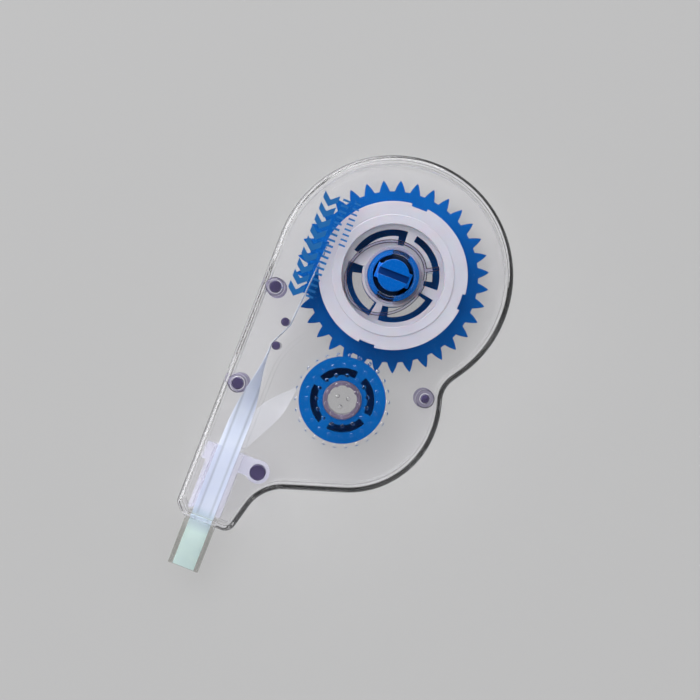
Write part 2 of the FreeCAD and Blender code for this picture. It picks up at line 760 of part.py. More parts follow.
def make_applicator_tip():
    body = new_body("applicator_tip")
    x = size("tip_x")
    middle = "Dimensions.parting_height - Dimensions.tip_plate_thickness / 2"
    window_half = size("tape_width") / 2 + 0.05

    shank = new_sketch(body, "shank", middle)
    half = size("tip_shank_half")
    add_box(shank, x - half, x + half, size("tip_neck_y") - 0.5, size("tip_shank_top_y"))
    pad(body, shank, cell("tip_plate_thickness"))

    plate = new_sketch(body, "plate", f"Dimensions.tip_x - {window_half}", "YZ_Plane")
    add_wedge(plate, size("tip_neck_y"), size("tip_end_y"),
              size("tip_plate_thickness"), size("tip_plate_thickness_end"))
    pad(body, plate, f"2 * {window_half}")

    for side, edge in (("left", "Dimensions.tip_x - Dimensions.tip_rail_half"),
                       ("right", f"Dimensions.tip_x + {window_half}")):
        rail = new_sketch(body, f"{side}_rail", edge, "YZ_Plane")
        add_wedge(rail, size("tip_shoulder_y"), size("tip_end_y"),
                  size("tip_rail_thickness"), size("tip_rail_thickness_end"))
        pad(body, rail, f"Dimensions.tip_rail_half - {window_half}")
    for side, edge in (("left", "Dimensions.tip_x - Dimensions.tip_neck_half"),
                       ("right", f"Dimensions.tip_x + {window_half}")):
        neck = new_sketch(body, f"{side}_neck", edge, "YZ_Plane")
        add_wedge(neck, size("tip_neck_y"), size("tip_shoulder_y"),
                  size("tip_rail_thickness"), size("tip_rail_thickness"))
        pad(body, neck, f"Dimensions.tip_neck_half - {window_half}")


# ---------------------------------------------------------------- tape between the rolls and the tip

def tape_section(place, heading, lean):
    """A tape cross-section: lean 0 stands on its edge, lean 90 lies flat to the housing."""
    forward = Vector(heading[0], heading[1], 0).normalize()
    aside = Vector(-forward.y, forward.x, 0)
    lean = math.radians(lean)
    across = Vector(0, 0, 1) * math.cos(lean) + aside * math.sin(lean)
    face = aside * math.cos(lean) - Vector(0, 0, 1) * math.sin(lean)
    half_width, half_film = size("tape_width") / 2, size("tape_film") / 2
    corners = [place + across * (sx * half_width) + face * (sy * half_film)
               for sx, sy in ((-1, -1), (1, -1), (1, 1), (-1, 1))]
    return Part.makePolygon(corners + corners[:1])


def tape_ribbon(stations):
    """A thin solid through stations (x, y, z, lean), one ruled span from each to the next."""
    points = [Vector(*station[:3]) for station in stations]
    spans = []
    for index in range(len(points) - 1):
        before = points[max(index - 1, 0)]
        after = points[min(index + 2, len(points) - 1)]
        start_heading = points[index + 1] - before
        end_heading = after - points[index]
        sections = [
            tape_section(points[index], start_heading, stations[index][3]),
            tape_section(points[index + 1], end_heading, stations[index + 1][3]),
        ]
        spans.append(Part.makeLoft(sections, True, True))
    return spans[0].multiFuse(spans[1:]).removeSplitter()


def twist(start, end, steps):
    """Stations from one to the other with the lean turning evenly."""
    return [tuple(a + (b - a) * step / steps for a, b in zip(start, end))
            for step in range(steps + 1)]


def film_height(y):
    """Height of the tape's middle above the parting plane where it lies on the tip."""
    neck, end = size("tip_neck_y"), size("tip_end_y")
    share = max(0.0, min(1.0, (y - neck) / (end - neck)))
    thick, thin = size("tip_plate_thickness") / 2, size("tip_plate_thickness_end") / 2
    return thick + (thin - thick) * share + size("tape_film") / 2 + 0.02


def add_feature(label, shape):
    feature = doc.addObject("Part::Feature", label)
    feature.Label = label
    feature.Shape = shape
    feature.Placement = Placement(Vector(0, 0, 0), Rotation())
    SUB_PARTS.append(feature)


def make_tape_supply_run():
    """From the left of the supply roll, between the guide pins, over the front of the tip."""
    middle, tip_x, end_y = size("parting_height"), size("tip_x"), size("tip_end_y")
    neck_y = size("tip_neck_y")
    roll = size("supply_roll_radius") + size("run_gap")
    leave = polar(roll, 175.2, (size("gear_x"), size("gear_y")))
    pin_path = size("guide_pin_radius") + 2 * size("tape_film")
    first, second = GUIDE_PINS
    cross_angle = math.degrees(math.asin(2 * pin_path / (first[1] - second[1])))
    upright = [
        (*leave, middle, 0.0),
        (*polar(pin_path, 0.0, first), middle, 0.0),
        (*polar(pin_path, -cross_angle, first), middle, 0.0),
        (*polar(pin_path, 180 - cross_angle, second), middle, 0.0),
        (*polar(pin_path, 180.0, second), middle, 0.0),
    ]
    entry = size("holder_top_y")
    turning = twist((second[0] - pin_path, second[1] - 1.0, middle, 0.0),
                    (tip_x, entry, middle + film_height(neck_y), 90.0), 8)
    flat = [
        (tip_x, neck_y, middle + film_height(neck_y), 90.0),
        (tip_x, end_y + 0.1, middle + film_height(end_y), 90.0),
    ]
    add_feature("tape_supply_run", tape_ribbon(upright + turning + flat))


def make_carrier_return_run():
    """Emptied carrier: round the tip's edge, along its back, then to the take-up drum."""
    middle, tip_x, end_y = size("parting_height"), size("tip_x"), size("tip_end_y")
    neck_y, entry = size("tip_neck_y"), size("holder_top_y")
    centre = Vector(size("takeup_x"), size("takeup_y"), 0)
    start = Vector(tip_x, entry, 0)
    reach = size("spent_roll_radius") + size("run_gap")
    away = start - centre
    spread = math.degrees(math.acos(reach / away.Length))
    bearing = math.degrees(math.atan2(away.y, away.x))
    arrive = polar(reach, bearing - spread, (centre.x, centre.y))
    flat = [
        (tip_x, end_y + 0.1, middle - film_height(end_y), 90.0),
        (tip_x, neck_y, middle - film_height(neck_y), 90.0),
    ]
    low = middle - film_height(neck_y)
    flat.append((tip_x, entry, low, 90.0))

    def along(share_alias):
        share = size(share_alias)
        return (tip_x + (arrive[0] - tip_x) * share, entry + (arrive[1] - entry) * share)

    turning = twist((*along("return_flat_share"), low, 90.0),
                    (*along("return_upright_share"), middle, 0.0), 8)
    add_feature("carrier_return_run", tape_ribbon(flat + turning + [(*arrive, middle, 0.0)]))


def check_and_export():
    doc.recompute()
    for item in doc.Objects:
        if "Invalid" in item.State or "Error" in item.State:
            raise RuntimeError(f"{item.Name} failed: {item.State}")
    os.makedirs("parts", exist_ok=True)
    for part in SUB_PARTS:
        if part.Shape.isNull() or not part.Shape.isValid():
            raise RuntimeError(f"{part.Label} has no valid shape")
        print(f"{part.Label}: {len(part.Shape.Solids)} solid, {part.Shape.Volume:.1f} mm3")
        part.Shape.exportStep(f"parts/{part.Label}.step")


make_back_shell()
make_front_shell()
make_supply_gear()
make_tension_knob()
make_supply_spool()
make_roll("tape_supply_roll", "gear", "core_radius", "supply_roll_radius")
make_clutch_spring()
make_take_up_spool()
make_roll("spent_carrier_roll", "takeup", "drum_radius", "spent_roll_radius")
make_tip_holder()
make_applicator_tip()
make_tape_supply_run()
make_carrier_return_run()
check_and_export()
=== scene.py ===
import math
import random

import bmesh
import bpy
from mathutils import Matrix, Vector


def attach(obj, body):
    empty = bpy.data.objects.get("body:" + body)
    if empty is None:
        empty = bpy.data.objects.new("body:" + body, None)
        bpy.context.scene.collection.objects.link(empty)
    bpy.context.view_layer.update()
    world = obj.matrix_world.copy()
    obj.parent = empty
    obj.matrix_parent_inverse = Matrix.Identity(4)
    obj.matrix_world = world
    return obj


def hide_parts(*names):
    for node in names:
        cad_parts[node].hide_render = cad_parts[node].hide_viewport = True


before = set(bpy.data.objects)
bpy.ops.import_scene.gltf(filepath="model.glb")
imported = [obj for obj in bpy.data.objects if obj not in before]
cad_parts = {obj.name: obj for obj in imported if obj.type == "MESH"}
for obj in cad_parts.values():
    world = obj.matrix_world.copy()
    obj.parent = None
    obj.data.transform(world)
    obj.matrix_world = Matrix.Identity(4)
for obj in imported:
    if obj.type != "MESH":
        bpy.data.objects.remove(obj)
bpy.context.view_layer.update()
bpy.ops.object.select_all(action="DESELECT")

# ---------------------------------------------------------------- the two clear covers
# The housing: two shallow halves injection moulded in clear polystyrene, pressed together along
# a parting line at mid height. Their outline is a large round lobe over the supply wheel, a
# smaller one over the take-up wheel, and a straight snout that ends in the mouth.
MM = 0.001
COVER_CORNERS = [
    (-26.3, 51.7, 26.3),
    (26.3, 51.7, 26.3),
    (26.3, 17.5, 26.3),
    (19.2, 6.4, 6.0),
    (21.1, -0.6, 21.0),
    (21.1, -18.3, 20.3),
    (-9.9, -28.5, 9.0),
    (-12.94, -40.3, 2.6),
    (-24.0, -40.3, 1.8),
    (-26.3, -37.9, 2.2),
]
COVER_WALL = 1.2
COVER_TOP = 13.0
COVER_EDGE = 1.6
COVER_INNER_EDGE = 0.5
FRONT_INSIDE = COVER_TOP - COVER_WALL
WELD = 0.1  # how far a boss reaches into the wall that it grows from
PARTING = 6.5
PARTING_GAP = 0.02
PARTING_CHAMFER = 0.12
SHADE_BAND_WIDTH = 0.82
GEAR_AXIS = (0.0, 25.4)
TAKE_UP_AXIS = (-0.5, -4.2)
PIN_SEATS = [((-23.2, 13.7), 1.35), ((-23.2, -9.0), 1.35), ((16.3, 2.7), 1.0)]
GUIDE_PINS = [(-18.4, 7.3), (-18.4, 1.7)]
HOLDER_POST = (-12.1, -25.9)
TIP_X = -20.0
MOUTH_HALF = 3.6
MOUTH_ENDS = (-41.3, -38.9)


def polar(radius, angle, centre=(0.0, 0.0)):
    turn = math.radians(angle)
    return (centre[0] + radius * math.cos(turn), centre[1] + radius * math.sin(turn))


def rounded_outline(corners, step=3.0):
    """Points round a closed outline, with each corner turned into an arc of its radius."""
    points = []
    for index, (x, y, radius) in enumerate(corners):
        here = Vector((x, y))
        arriving = (here - Vector(corners[index - 1][:2])).normalized()
        leaving = (Vector(corners[(index + 1) % len(corners)][:2]) - here).normalized()
        turn = math.atan2(arriving.cross(leaving), arriving.dot(leaving))
        start = here - arriving * radius * math.tan(abs(turn) / 2)
        side = math.copysign(1.0, turn)
        centre = start + Vector((-arriving.y, arriving.x)) * radius * side
        arm = start - centre
        steps = max(3, math.ceil(math.degrees(abs(turn)) / step))
        for share in range(steps + 1):
            angle = turn * share / steps
            spot = (
                centre.x + arm.x * math.cos(angle) - arm.y * math.sin(angle),
                centre.y + arm.x * math.sin(angle) + arm.y * math.cos(angle),
            )
            if not points or math.dist(spot, points[-1]) > 0.02:
                points.append(spot)
    return points


def edit(piece):
    bpy.ops.object.select_all(action="DESELECT")
    piece.select_set(True)
    bpy.context.view_layer.objects.active = piece
    bpy.ops.object.mode_set(mode="EDIT")


def close_edit():
    bpy.ops.object.mode_set(mode="OBJECT")
    bpy.ops.object.select_all(action="DESELECT")


def pick(piece, kind, wanted):
    """In edit mode, select the faces or edges for which wanted() is true."""
    bpy.ops.mesh.select_mode(type=kind)
    bpy.ops.mesh.select_all(action="DESELECT")
    shape = bmesh.from_edit_mesh(piece.data)
    for item in shape.faces if kind == "FACE" else shape.edges:
        item.select_set(wanted(item))
    bmesh.update_edit_mesh(piece.data)


def at_height(height):
    """A test for edges or flat faces that lie at one height, in millimetres."""
    return lambda item: all(abs(corner.co.z - height * MM) < 1e-6 for corner in item.verts)


def raise_by(height):
    bpy.ops.mesh.extrude_region_move(TRANSFORM_OT_translate={"value": (0, 0, height * MM)})


def plate(name, outline, low, high):
    """A flat blank with the given outline, cut from a disc and extruded up."""
    bpy.ops.object.select_all(action="DESELECT")
    bpy.ops.mesh.primitive_circle_add(vertices=len(outline), radius=0.01, fill_type="NGON")
    blank = bpy.context.object
    blank.name = name
    for corner, (x, y) in zip(blank.data.vertices, outline):
        corner.co = (x * MM, y * MM, low * MM)
    edit(blank)
    bpy.ops.mesh.select_all(action="SELECT")
    raise_by(high - low)
    bpy.ops.mesh.select_all(action="SELECT")
    bpy.ops.mesh.normals_make_consistent(inside=False)
    close_edit()
    return blank


def disc_outline(radius, centre, points=64):
    return [polar(radius, 360 * step / points, centre) for step in range(points)]


def box_outline(x_low, x_high, y_low, y_high):
    return [(x_low, y_low), (x_high, y_low), (x_high, y_high), (x_low, y_high)]


def turned(name, profile, centre, steps=96):
    """A round part spun from its half section: (radius, height) points, in millimetres."""
    bpy.ops.object.select_all(action="DESELECT")
    bpy.ops.mesh.primitive_circle_add(vertices=len(profile), radius=0.01, fill_type="NOTHING")
    part = bpy.context.object
    part.name = name
    for corner, (radius, height) in zip(part.data.vertices, profile):
        corner.co = ((centre[0] + radius) * MM, centre[1] * MM, height * MM)
    edit(part)
    on_axis = centre[0] * MM + 1e-7
    pick(part, "EDGE", lambda edge: all(corner.co.x < on_axis for corner in edge.verts))
    bpy.ops.mesh.delete(type="EDGE")
    bpy.ops.mesh.select_mode(type="VERT")
    bpy.ops.mesh.select_all(action="SELECT")
    bpy.ops.mesh.spin(steps=steps, angle=2 * math.pi, axis=(0, 0, 1),
                      center=(centre[0] * MM, centre[1] * MM, 0))
    bpy.ops.mesh.select_all(action="SELECT")
    bpy.ops.mesh.remove_doubles(threshold=1e-6)
    bpy.ops.mesh.normals_make_consistent(inside=False)
    close_edit()
    return part


def combine(piece, tool, operation):
    """Weld a second shape to a piece, or cut it out of the piece, and use the shape up."""
    weld = piece.modifiers.new("weld", "BOOLEAN")
    weld.operation = operation
    weld.solver = "EXACT"
    weld.object = tool
    bpy.context.view_layer.objects.active = piece
    bpy.ops.object.modifier_apply(modifier=weld.name)
    bpy.data.objects.remove(tool)


def smooth(piece, angle=32):
    """Shade a piece smooth across its gentle edges, and leave its level faces truly flat."""
    bpy.ops.object.select_all(action="DESELECT")
    piece.select_set(True)
    bpy.context.view_layer.objects.active = piece
    bpy.ops.object.shade_smooth_by_angle(angle=math.radians(angle))
    for face in piece.data.polygons:
        if abs(face.normal.z) > 0.9999:
            face.use_smooth = False
    piece.select_set(False)


def soften(piece, width, segments=2):
    """The small radius that every moulded edge has, on edges sharper than 35 degrees."""
    edge = piece.modifiers.new("edge", "BEVEL")
    edge.limit_method = "ANGLE"
    edge.angle_limit = math.radians(35)
    edge.width = width * MM
    edge.segments = segments
    bpy.context.view_layer.objects.active = piece
    bpy.ops.object.modifier_apply(modifier=edge.name)
    smooth(piece)


def cover_half(name, outer, inner, parting):
    """Extrude the outline, round its outer rim, then inset the parting face and sink the hollow."""
    half = plate(name, rounded_outline(COVER_CORNERS), *sorted((parting, outer)))
    edit(half)
    pick(half, "EDGE", at_height(outer))
    bpy.ops.mesh.bevel(offset_type="OFFSET", offset=COVER_EDGE * MM, segments=7, profile=0.5,
                       affect="EDGES", clamp_overlap=False)
    pick(half, "FACE", at_height(parting))
    bpy.ops.mesh.inset(thickness=PARTING_CHAMFER * MM, depth=0)
    # The second ring is the band that carries the painted shade of the parting faces.
    bpy.ops.mesh.inset(thickness=SHADE_BAND_WIDTH * MM, depth=0)
    bpy.ops.mesh.inset(thickness=(COVER_WALL - PARTING_CHAMFER - SHADE_BAND_WIDTH) * MM, depth=0)
    raise_by(inner - parting)
    pick(half, "EDGE", at_height(inner))
    bpy.ops.mesh.bevel(offset_type="OFFSET", offset=COVER_INNER_EDGE * MM, segments=3, profile=0.5,
                       affect="EDGES", clamp_overlap=False)
    close_edit()
    return half


def mouth_cutter(low, high):
    """The gap in the end wall that the applicator tip passes through."""
    return plate("mouth", box_outline(TIP_X - MOUTH_HALF, TIP_X + MOUTH_HALF, *MOUTH_ENDS), low, high)


back_cover = cover_half("back_cover", 0.0, COVER_WALL, PARTING - PARTING_GAP)
combine(back_cover, mouth_cutter(4.6, 7.0), "DIFFERENCE")

# The axle that the supply gear turns on, with a lead at its top.
AXLE_RADIUS, AXLE_TOP, AXLE_LEAD = 3.0, 8.0, 0.3
axle_root = COVER_WALL - WELD
axle = turned("axle", [(0, axle_root), (AXLE_RADIUS, axle_root), (AXLE_RADIUS, AXLE_TOP - AXLE_LEAD),
                       (AXLE_RADIUS - AXLE_LEAD, AXLE_TOP), (0, AXLE_TOP)], GEAR_AXIS)
combine(back_cover, axle, "UNION")

# The front cover has a thick collar round the knob's hole, and a socket for each post.
front_cover = cover_half("front_cover", COVER_TOP, FRONT_INSIDE, PARTING + PARTING_GAP)
collar = turned("collar", [(0, 11.2), (5.1, 11.2), (5.3, 11.4), (5.3, 12.0), (0, 12.0)], GEAR_AXIS)
combine(front_cover, collar, "UNION")
KNOB_HOLE, KNOB_HOLE_MOUTH = 4.6, 4.95
knob_hole = turned("knob_hole", [(0, 10), (KNOB_HOLE, 10), (KNOB_HOLE, 12.7), (KNOB_HOLE_MOUTH, 13.05),
                                 (KNOB_HOLE_MOUTH, 14), (0, 14)], GEAR_AXIS)
combine(front_cover, knob_hole, "DIFFERENCE")
SOCKET_RADIUS, SOCKET_FOOT, SOCKET_LEAD, PIN_PLAY = 2.05, 9.6, 0.15, 0.05
socket_root = FRONT_INSIDE + WELD
for seat, pin_radius in PIN_SEATS:
    bore = pin_radius + PIN_PLAY
    socket = turned("socket", [(bore, socket_root), (bore, SOCKET_FOOT + SOCKET_LEAD),
                               (bore + SOCKET_LEAD, SOCKET_FOOT),
                               (SOCKET_RADIUS - SOCKET_LEAD, SOCKET_FOOT),
                               (SOCKET_RADIUS, SOCKET_FOOT + SOCKET_LEAD),
                               (SOCKET_RADIUS, socket_root)], seat, 48)
    combine(front_cover, socket, "UNION")

# The thin wall that keeps the outgoing tape off the take-up wheel: straight, then an arc.
RIB_REACH, RIB_HALF, RIB_END_Y = 16.4, 0.4, -22.0
rib_x = TAKE_UP_AXIS[0] - RIB_REACH
rib_outline = [(rib_x - RIB_HALF, RIB_END_Y)]
rib_outline += [polar(RIB_REACH + RIB_HALF, angle, TAKE_UP_AXIS) for angle in range(180, 137, -3)]
rib_outline += [polar(RIB_REACH - RIB_HALF, angle, TAKE_UP_AXIS) for angle in range(138, 181, 3)]
rib_outline += [(rib_x + RIB_HALF, RIB_END_Y)]
rib = plate("rib", rib_outline, 7.3, 11.9)
combine(front_cover, rib, "UNION")
combine(front_cover, mouth_cutter(6.0, 8.4), "DIFFERENCE")

# Grip dots, small domes in rings over the take-up wheel, one modelled and the rest copied.
DOT_RADIUS, DOT_SQUASH = 0.45, 0.5
DOT_RINGS = [(1.4, 3, 35.0), (3.5, 9, 10.0), (5.6, 15, 4.0), (7.8, 20, 0.0), (10.0, 26, 5.0)]
bpy.ops.mesh.primitive_uv_sphere_add(segments=14, ring_count=8, radius=DOT_RADIUS * MM)
dot = bpy.context.object
edit(dot)
bpy.ops.mesh.select_all(action="SELECT")
bpy.ops.transform.resize(value=(1, 1, DOT_SQUASH))
close_edit()
dots = []
for ring_radius, count, first_angle in DOT_RINGS:
    for step in range(count):
        x, y = polar(ring_radius, first_angle + 360 * step / count, TAKE_UP_AXIS)
        copy = bpy.data.objects.new("dot", dot.data.copy())
        bpy.context.collection.objects.link(copy)
        copy.data.transform(Matrix.Translation(Vector((x, y, COVER_TOP)) * MM))
        dots.append(copy)
bpy.data.objects.remove(dot)
for copy in dots:
    copy.select_set(True)
bpy.context.view_layer.objects.active = dots[0]
bpy.ops.object.join()
combine(front_cover, bpy.context.object, "UNION")
smooth(back_cover, 35)
smooth(front_cover, 35)


def node_group(name, inputs, outputs):
    """An empty shader group with its sockets; inputs are (name, type, start value)."""
    group = bpy.data.node_groups.new(name, "ShaderNodeTree")
    for label, kind, start in inputs:
        socket = group.interface.new_socket(name=label, in_out="INPUT", socket_type=kind)
        if start is not None:
            socket.default_value = start
    for label, kind in outputs:
        group.interface.new_socket(name=label, in_out="OUTPUT", socket_type=kind)
    return group, group.nodes.new("NodeGroupInput"), group.nodes.new("NodeGroupOutput")


def add_node(tree, kind, links=(), **settings):
    """A node with its settings, and its inputs fed by numbers or by other nodes' outputs."""
    node = tree.nodes.new("ShaderNode" + kind)
    for key, value in settings.items():
        setattr(node, key, value)
    for key, value in links:
        if isinstance(value, bpy.types.NodeSocket):
            tree.links.new(value, node.inputs[key])
        else:
            node.inputs[key].default_value = value
    return node


# Handling marks: hair-fine scuffs lying two ways, and a soft smear that dulls the gloss.
scuffs, scuff_in, scuff_out = node_group(
    "handling scuffs",
    [("Gloss", "NodeSocketFloat", 0.03), ("Dulling", "NodeSocketFloat", 0.05)],
    [("Roughness", "NodeSocketFloat"), ("Height", "NodeSocketFloat")])
place = add_node(scuffs, "TexCoord").outputs["Object"]
smear = add_node(scuffs, "TexNoise", [("Vector", place), ("Scale", 70.0), ("Detail", 3.0)])
hairs = []
for turn in (0.5, -0.9):
    lay = add_node(scuffs, "Mapping", [("Vector", place), ("Rotation", (0, 0, turn)),
                                       ("Scale", (60.0, 2600.0, 60.0))])
    hair = add_node(scuffs, "TexNoise", [("Vector", lay.outputs[0]), ("Scale", 1.0), ("Detail", 2.0)])
    thin = add_node(scuffs, "MapRange", [("Value", hair.outputs["Fac"]), ("From Min", 0.66),
                                         ("From Max", 0.74)])
    hairs.append(thin.outputs[0])
both = add_node(scuffs, "Math", [(0, hairs[0]), (1, hairs[1])], operation="MAXIMUM")
worn = add_node(scuffs, "Math", [(0, smear.outputs["Fac"]), (1, both.outputs[0])], operation="MULTIPLY")
dull = add_node(scuffs, "Math", [(0, smear.outputs["Fac"]), (1, scuff_in.outputs["Dulling"]),
                                 (2, scuff_in.outputs["Gloss"])], operation="MULTIPLY_ADD")
scuffs.links.new(dull.outputs[0], scuff_out.inputs["Roughness"])
scuffs.links.new(worn.outputs[0], scuff_out.inputs["Height"])

# Moulded skin: a cloudy change of colour from the melt's flow, and a fine orange-peel surface.
skin, skin_in, skin_out = node_group(
    "moulded skin",
    [("Colour", "NodeSocketColor", (1, 1, 1, 1)), ("Flow Colour", "NodeSocketColor", (1, 1, 1, 1)),
     ("Flow Scale", "NodeSocketFloat", 90.0), ("Grain Scale", "NodeSocketFloat", 1800.0),
     ("Gloss", "NodeSocketFloat", 0.3)],
    [("Colour", "NodeSocketColor"), ("Roughness", "NodeSocketFloat"), ("Height", "NodeSocketFloat")])
place = add_node(skin, "TexCoord").outputs["Object"]
flow = add_node(skin, "TexNoise", [("Vector", place), ("Scale", skin_in.outputs["Flow Scale"]),
                                   ("Detail", 4.0), ("Distortion", 0.6)])
spread = add_node(skin, "MapRange", [("Value", flow.outputs["Fac"]), ("From Min", 0.35),
                                     ("From Max", 0.68)])
tint = add_node(skin, "Mix", [(0, spread.outputs[0]), (6, skin_in.outputs["Colour"]),
                              (7, skin_in.outputs["Flow Colour"])], data_type="RGBA")
grain = add_node(skin, "TexNoise", [("Vector", place), ("Scale", skin_in.outputs["Grain Scale"]),
                                    ("Detail", 3.0)])
matt = add_node(skin, "MapRange", [("Value", grain.outputs["Fac"]), ("To Min", -0.08),
                                   ("To Max", 0.1)])
gloss = add_node(skin, "Math", [(0, matt.outputs[0]), (1, skin_in.outputs["Gloss"])])
skin.links.new(tint.outputs[2], skin_out.inputs["Colour"])
skin.links.new(gloss.outputs[0], skin_out.inputs["Roughness"])
skin.links.new(grain.outputs["Fac"], skin_out.inputs["Height"])


def use_group(tree, group, **values):
    """The group placed in a material, with its own values; names give spaces as underscores."""
    node = tree.nodes.new("ShaderNodeGroup")
    node.node_tree = group
    for key, value in values.items():
        node.inputs[key.replace("_", " ")].default_value = value
    return node


def start_material(name, **values):
    """A Principled material with its constant numbers set on the shader itself."""
    material = bpy.data.materials.new(name)
    material.use_nodes = True
    tree = material.node_tree
    shader = tree.nodes["Principled BSDF"]
    for key, value in values.items():
        shader.inputs[key.replace("_", " ")].default_value = value
    return material, tree, shader


def feed_bump(tree, shader, height, strength, depth):
    """Fine relief on a surface; depth is in millimetres."""
    bump = add_node(tree, "Bump", [("Height", height), ("Strength", strength),
                                   ("Distance", depth * MM)])
    tree.links.new(bump.outputs["Normal"], shader.inputs["Normal"])


def let_light_through(tree, shader, tint):
    """Clear plastic casts only a faint, tinted shade."""
    clear = add_node(tree, "BsdfTransparent", [("Color", (*tint, 1))])
    ray = add_node(tree, "LightPath")
    mix = add_node(tree, "MixShader", [(0, ray.outputs["Is Shadow Ray"]), (1, shader.outputs[0]),
                                       (2, clear.outputs[0])])
    tree.links.new(mix.outputs[0], tree.nodes["Material Output"].inputs["Surface"])


def clear_plastic(name, colour, flow_colour, shade, gloss=0.02, ior=1.5, transmission=1.0,
                  flow_scale=60.0):
    """Clear or milky plastic: moulded skin for its colour, scuffs for its gloss, a tinted shade."""
    material, tree, shader = start_material(name, Transmission_Weight=transmission, IOR=ior)
    body = use_group(tree, skin, Colour=(*colour, 1), Flow_Colour=(*flow_colour, 1),
                     Flow_Scale=flow_scale, Grain_Scale=900.0, Gloss=gloss)
    marks = use_group(tree, scuffs, Gloss=gloss, Dulling=0.04)
    tree.links.new(body.outputs["Colour"], shader.inputs["Base Color"])
    tree.links.new(marks.outputs["Roughness"], shader.inputs["Roughness"])
    feed_bump(tree, shader, marks.outputs["Height"], 0.25, 0.02)
    let_light_through(tree, shader, shade)
    return material


def painted_shade_plastic(name, light, dark, shade_towards):
    """The matt parting faces of the covers, with painted shade: dark grey to the right, pale to the left.
    """
    material, tree, shader = start_material(name, Transmission_Weight=1.0, IOR=1.45)
    spot = add_node(tree, "TexCoord").outputs["Object"]
    lie = add_node(tree, "VectorMath", [(0, spot), (1, shade_towards)], operation="DOT_PRODUCT")
    share = add_node(tree, "MapRange", [("Value", lie.outputs["Value"]), ("From Min", -0.019),
                                        ("From Max", -0.007)])
    marks = use_group(tree, scuffs, Gloss=0.12, Dulling=0.1)
    tone = add_node(tree, "Mix", [(0, share.outputs[0]), (6, (*light, 1)), (7, (*dark, 1))],
                    data_type="RGBA")
    tree.links.new(tone.outputs[2], shader.inputs["Base Color"])
    tree.links.new(marks.outputs["Roughness"], shader.inputs["Roughness"])
    let_light_through(tree, shader, (0.9, 0.9, 0.9))
    return material


def dress(piece, body, material, slot, *stands_for):
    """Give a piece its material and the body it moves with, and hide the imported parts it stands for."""
    piece.data.materials.clear()
    piece.data.materials.append(material)
    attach(piece, body)
    if stands_for:
        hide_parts(*stands_for)


crystal = clear_plastic("clear polystyrene", (0.995, 0.993, 1.0), (0.985, 0.982, 0.994),
                        (0.998, 0.998, 0.999), ior=1.37)
# Painted shade: the parting faces are near black to the right of the covers and pale to the left.
parting_face_painted_shade = painted_shade_plastic("parting face, painted shade", (0.95, 0.95, 0.96), (0.03, 0.03, 0.033),
                              (1.0, -0.1, 0.0))
dress(back_cover, "housing", crystal, "clear_shell", "back_shell")
dress(front_cover, "housing", crystal, "clear_shell", "front_shell")
# Painted shade: the ring of the parting faces that lies this far inside the covers' outline, in
# millimetres, takes the shaded parting-face material.
SHADE_BAND_FROM, SHADE_BAND_TO = 0.06, 0.96
rim = [Vector((x, y)) * MM for x, y in rounded_outline(COVER_CORNERS)]


def depth_from_rim(spot):
    """How far a point lies inside the covers' outline, in millimetres."""
    nearest = 1.0
    for start, end in zip(rim, rim[1:] + rim[:1]):
        along = min(1.0, max(0.0, (spot - start).dot(end - start) / (end - start).length_squared))
        nearest = min(nearest, (spot - start.lerp(end, along)).length)
    return nearest / MM


for cover in (back_cover, front_cover):
    cover.data.materials.append(parting_face_painted_shade)
    for face in cover.data.polygons:
        from_parting = abs(face.center.z - PARTING * MM)
        if from_parting < 1.5 * PARTING_GAP * MM and abs(face.normal.z) > 0.9:
            if SHADE_BAND_FROM < depth_from_rim(face.center.xy) < SHADE_BAND_TO:
                face.material_index = 1

# ---------------------------------------------------------------- posts and pins of the back cover
# Clear posts moulded on the back cover: three that press into the front cover's sockets, two that
# guide the tape, one that holds the tip's carrier. Seen along their length they look dusky violet.
smoky_posts = clear_plastic("post plastic", (0.085, 0.07, 0.155), (0.055, 0.045, 0.11), (0.8, 0.79, 0.86),
                            gloss=0.12, transmission=0.4)
pale_posts = clear_plastic("post foot plastic", (0.38, 0.36, 0.46), (0.3, 0.28, 0.38),
                           (0.9, 0.89, 0.93), gloss=0.2, transmission=0.6)


POST_ROOT = COVER_WALL + 0.02
FOOT_RADIUS, FOOT_TOP, FOOT_LEAD = 2.25, 2.8, 0.2


def post(name, centre, radius, low, high, lead, plastic):
    """A round post with a small lead at its top, moulded on the back cover."""
    pin = turned(name, [(0, low), (radius, low), (radius, high - lead), (radius - lead, high),
                        (0, high)], centre, 48)
    smooth(pin)
    dress(pin, "housing", plastic, "clear_shell", "back_shell")


for number, (seat, pin_radius) in enumerate(PIN_SEATS, start=1):
    post(f"cover_post_foot_{number}", seat, FOOT_RADIUS, POST_ROOT, FOOT_TOP, FOOT_LEAD, pale_posts)
    post(f"cover_post_{number}", seat, pin_radius, FOOT_TOP + 0.02, 11.2, 0.25, smoky_posts)
for number, seat in enumerate(GUIDE_PINS, start=1):
    post(f"tape_guide_pin_{number}", seat, 0.95, POST_ROOT, 10.5, 0.25, smoky_posts)
post("holder_post", HOLDER_POST, 1.78, POST_ROOT, 9.0, 0.2, smoky_posts)

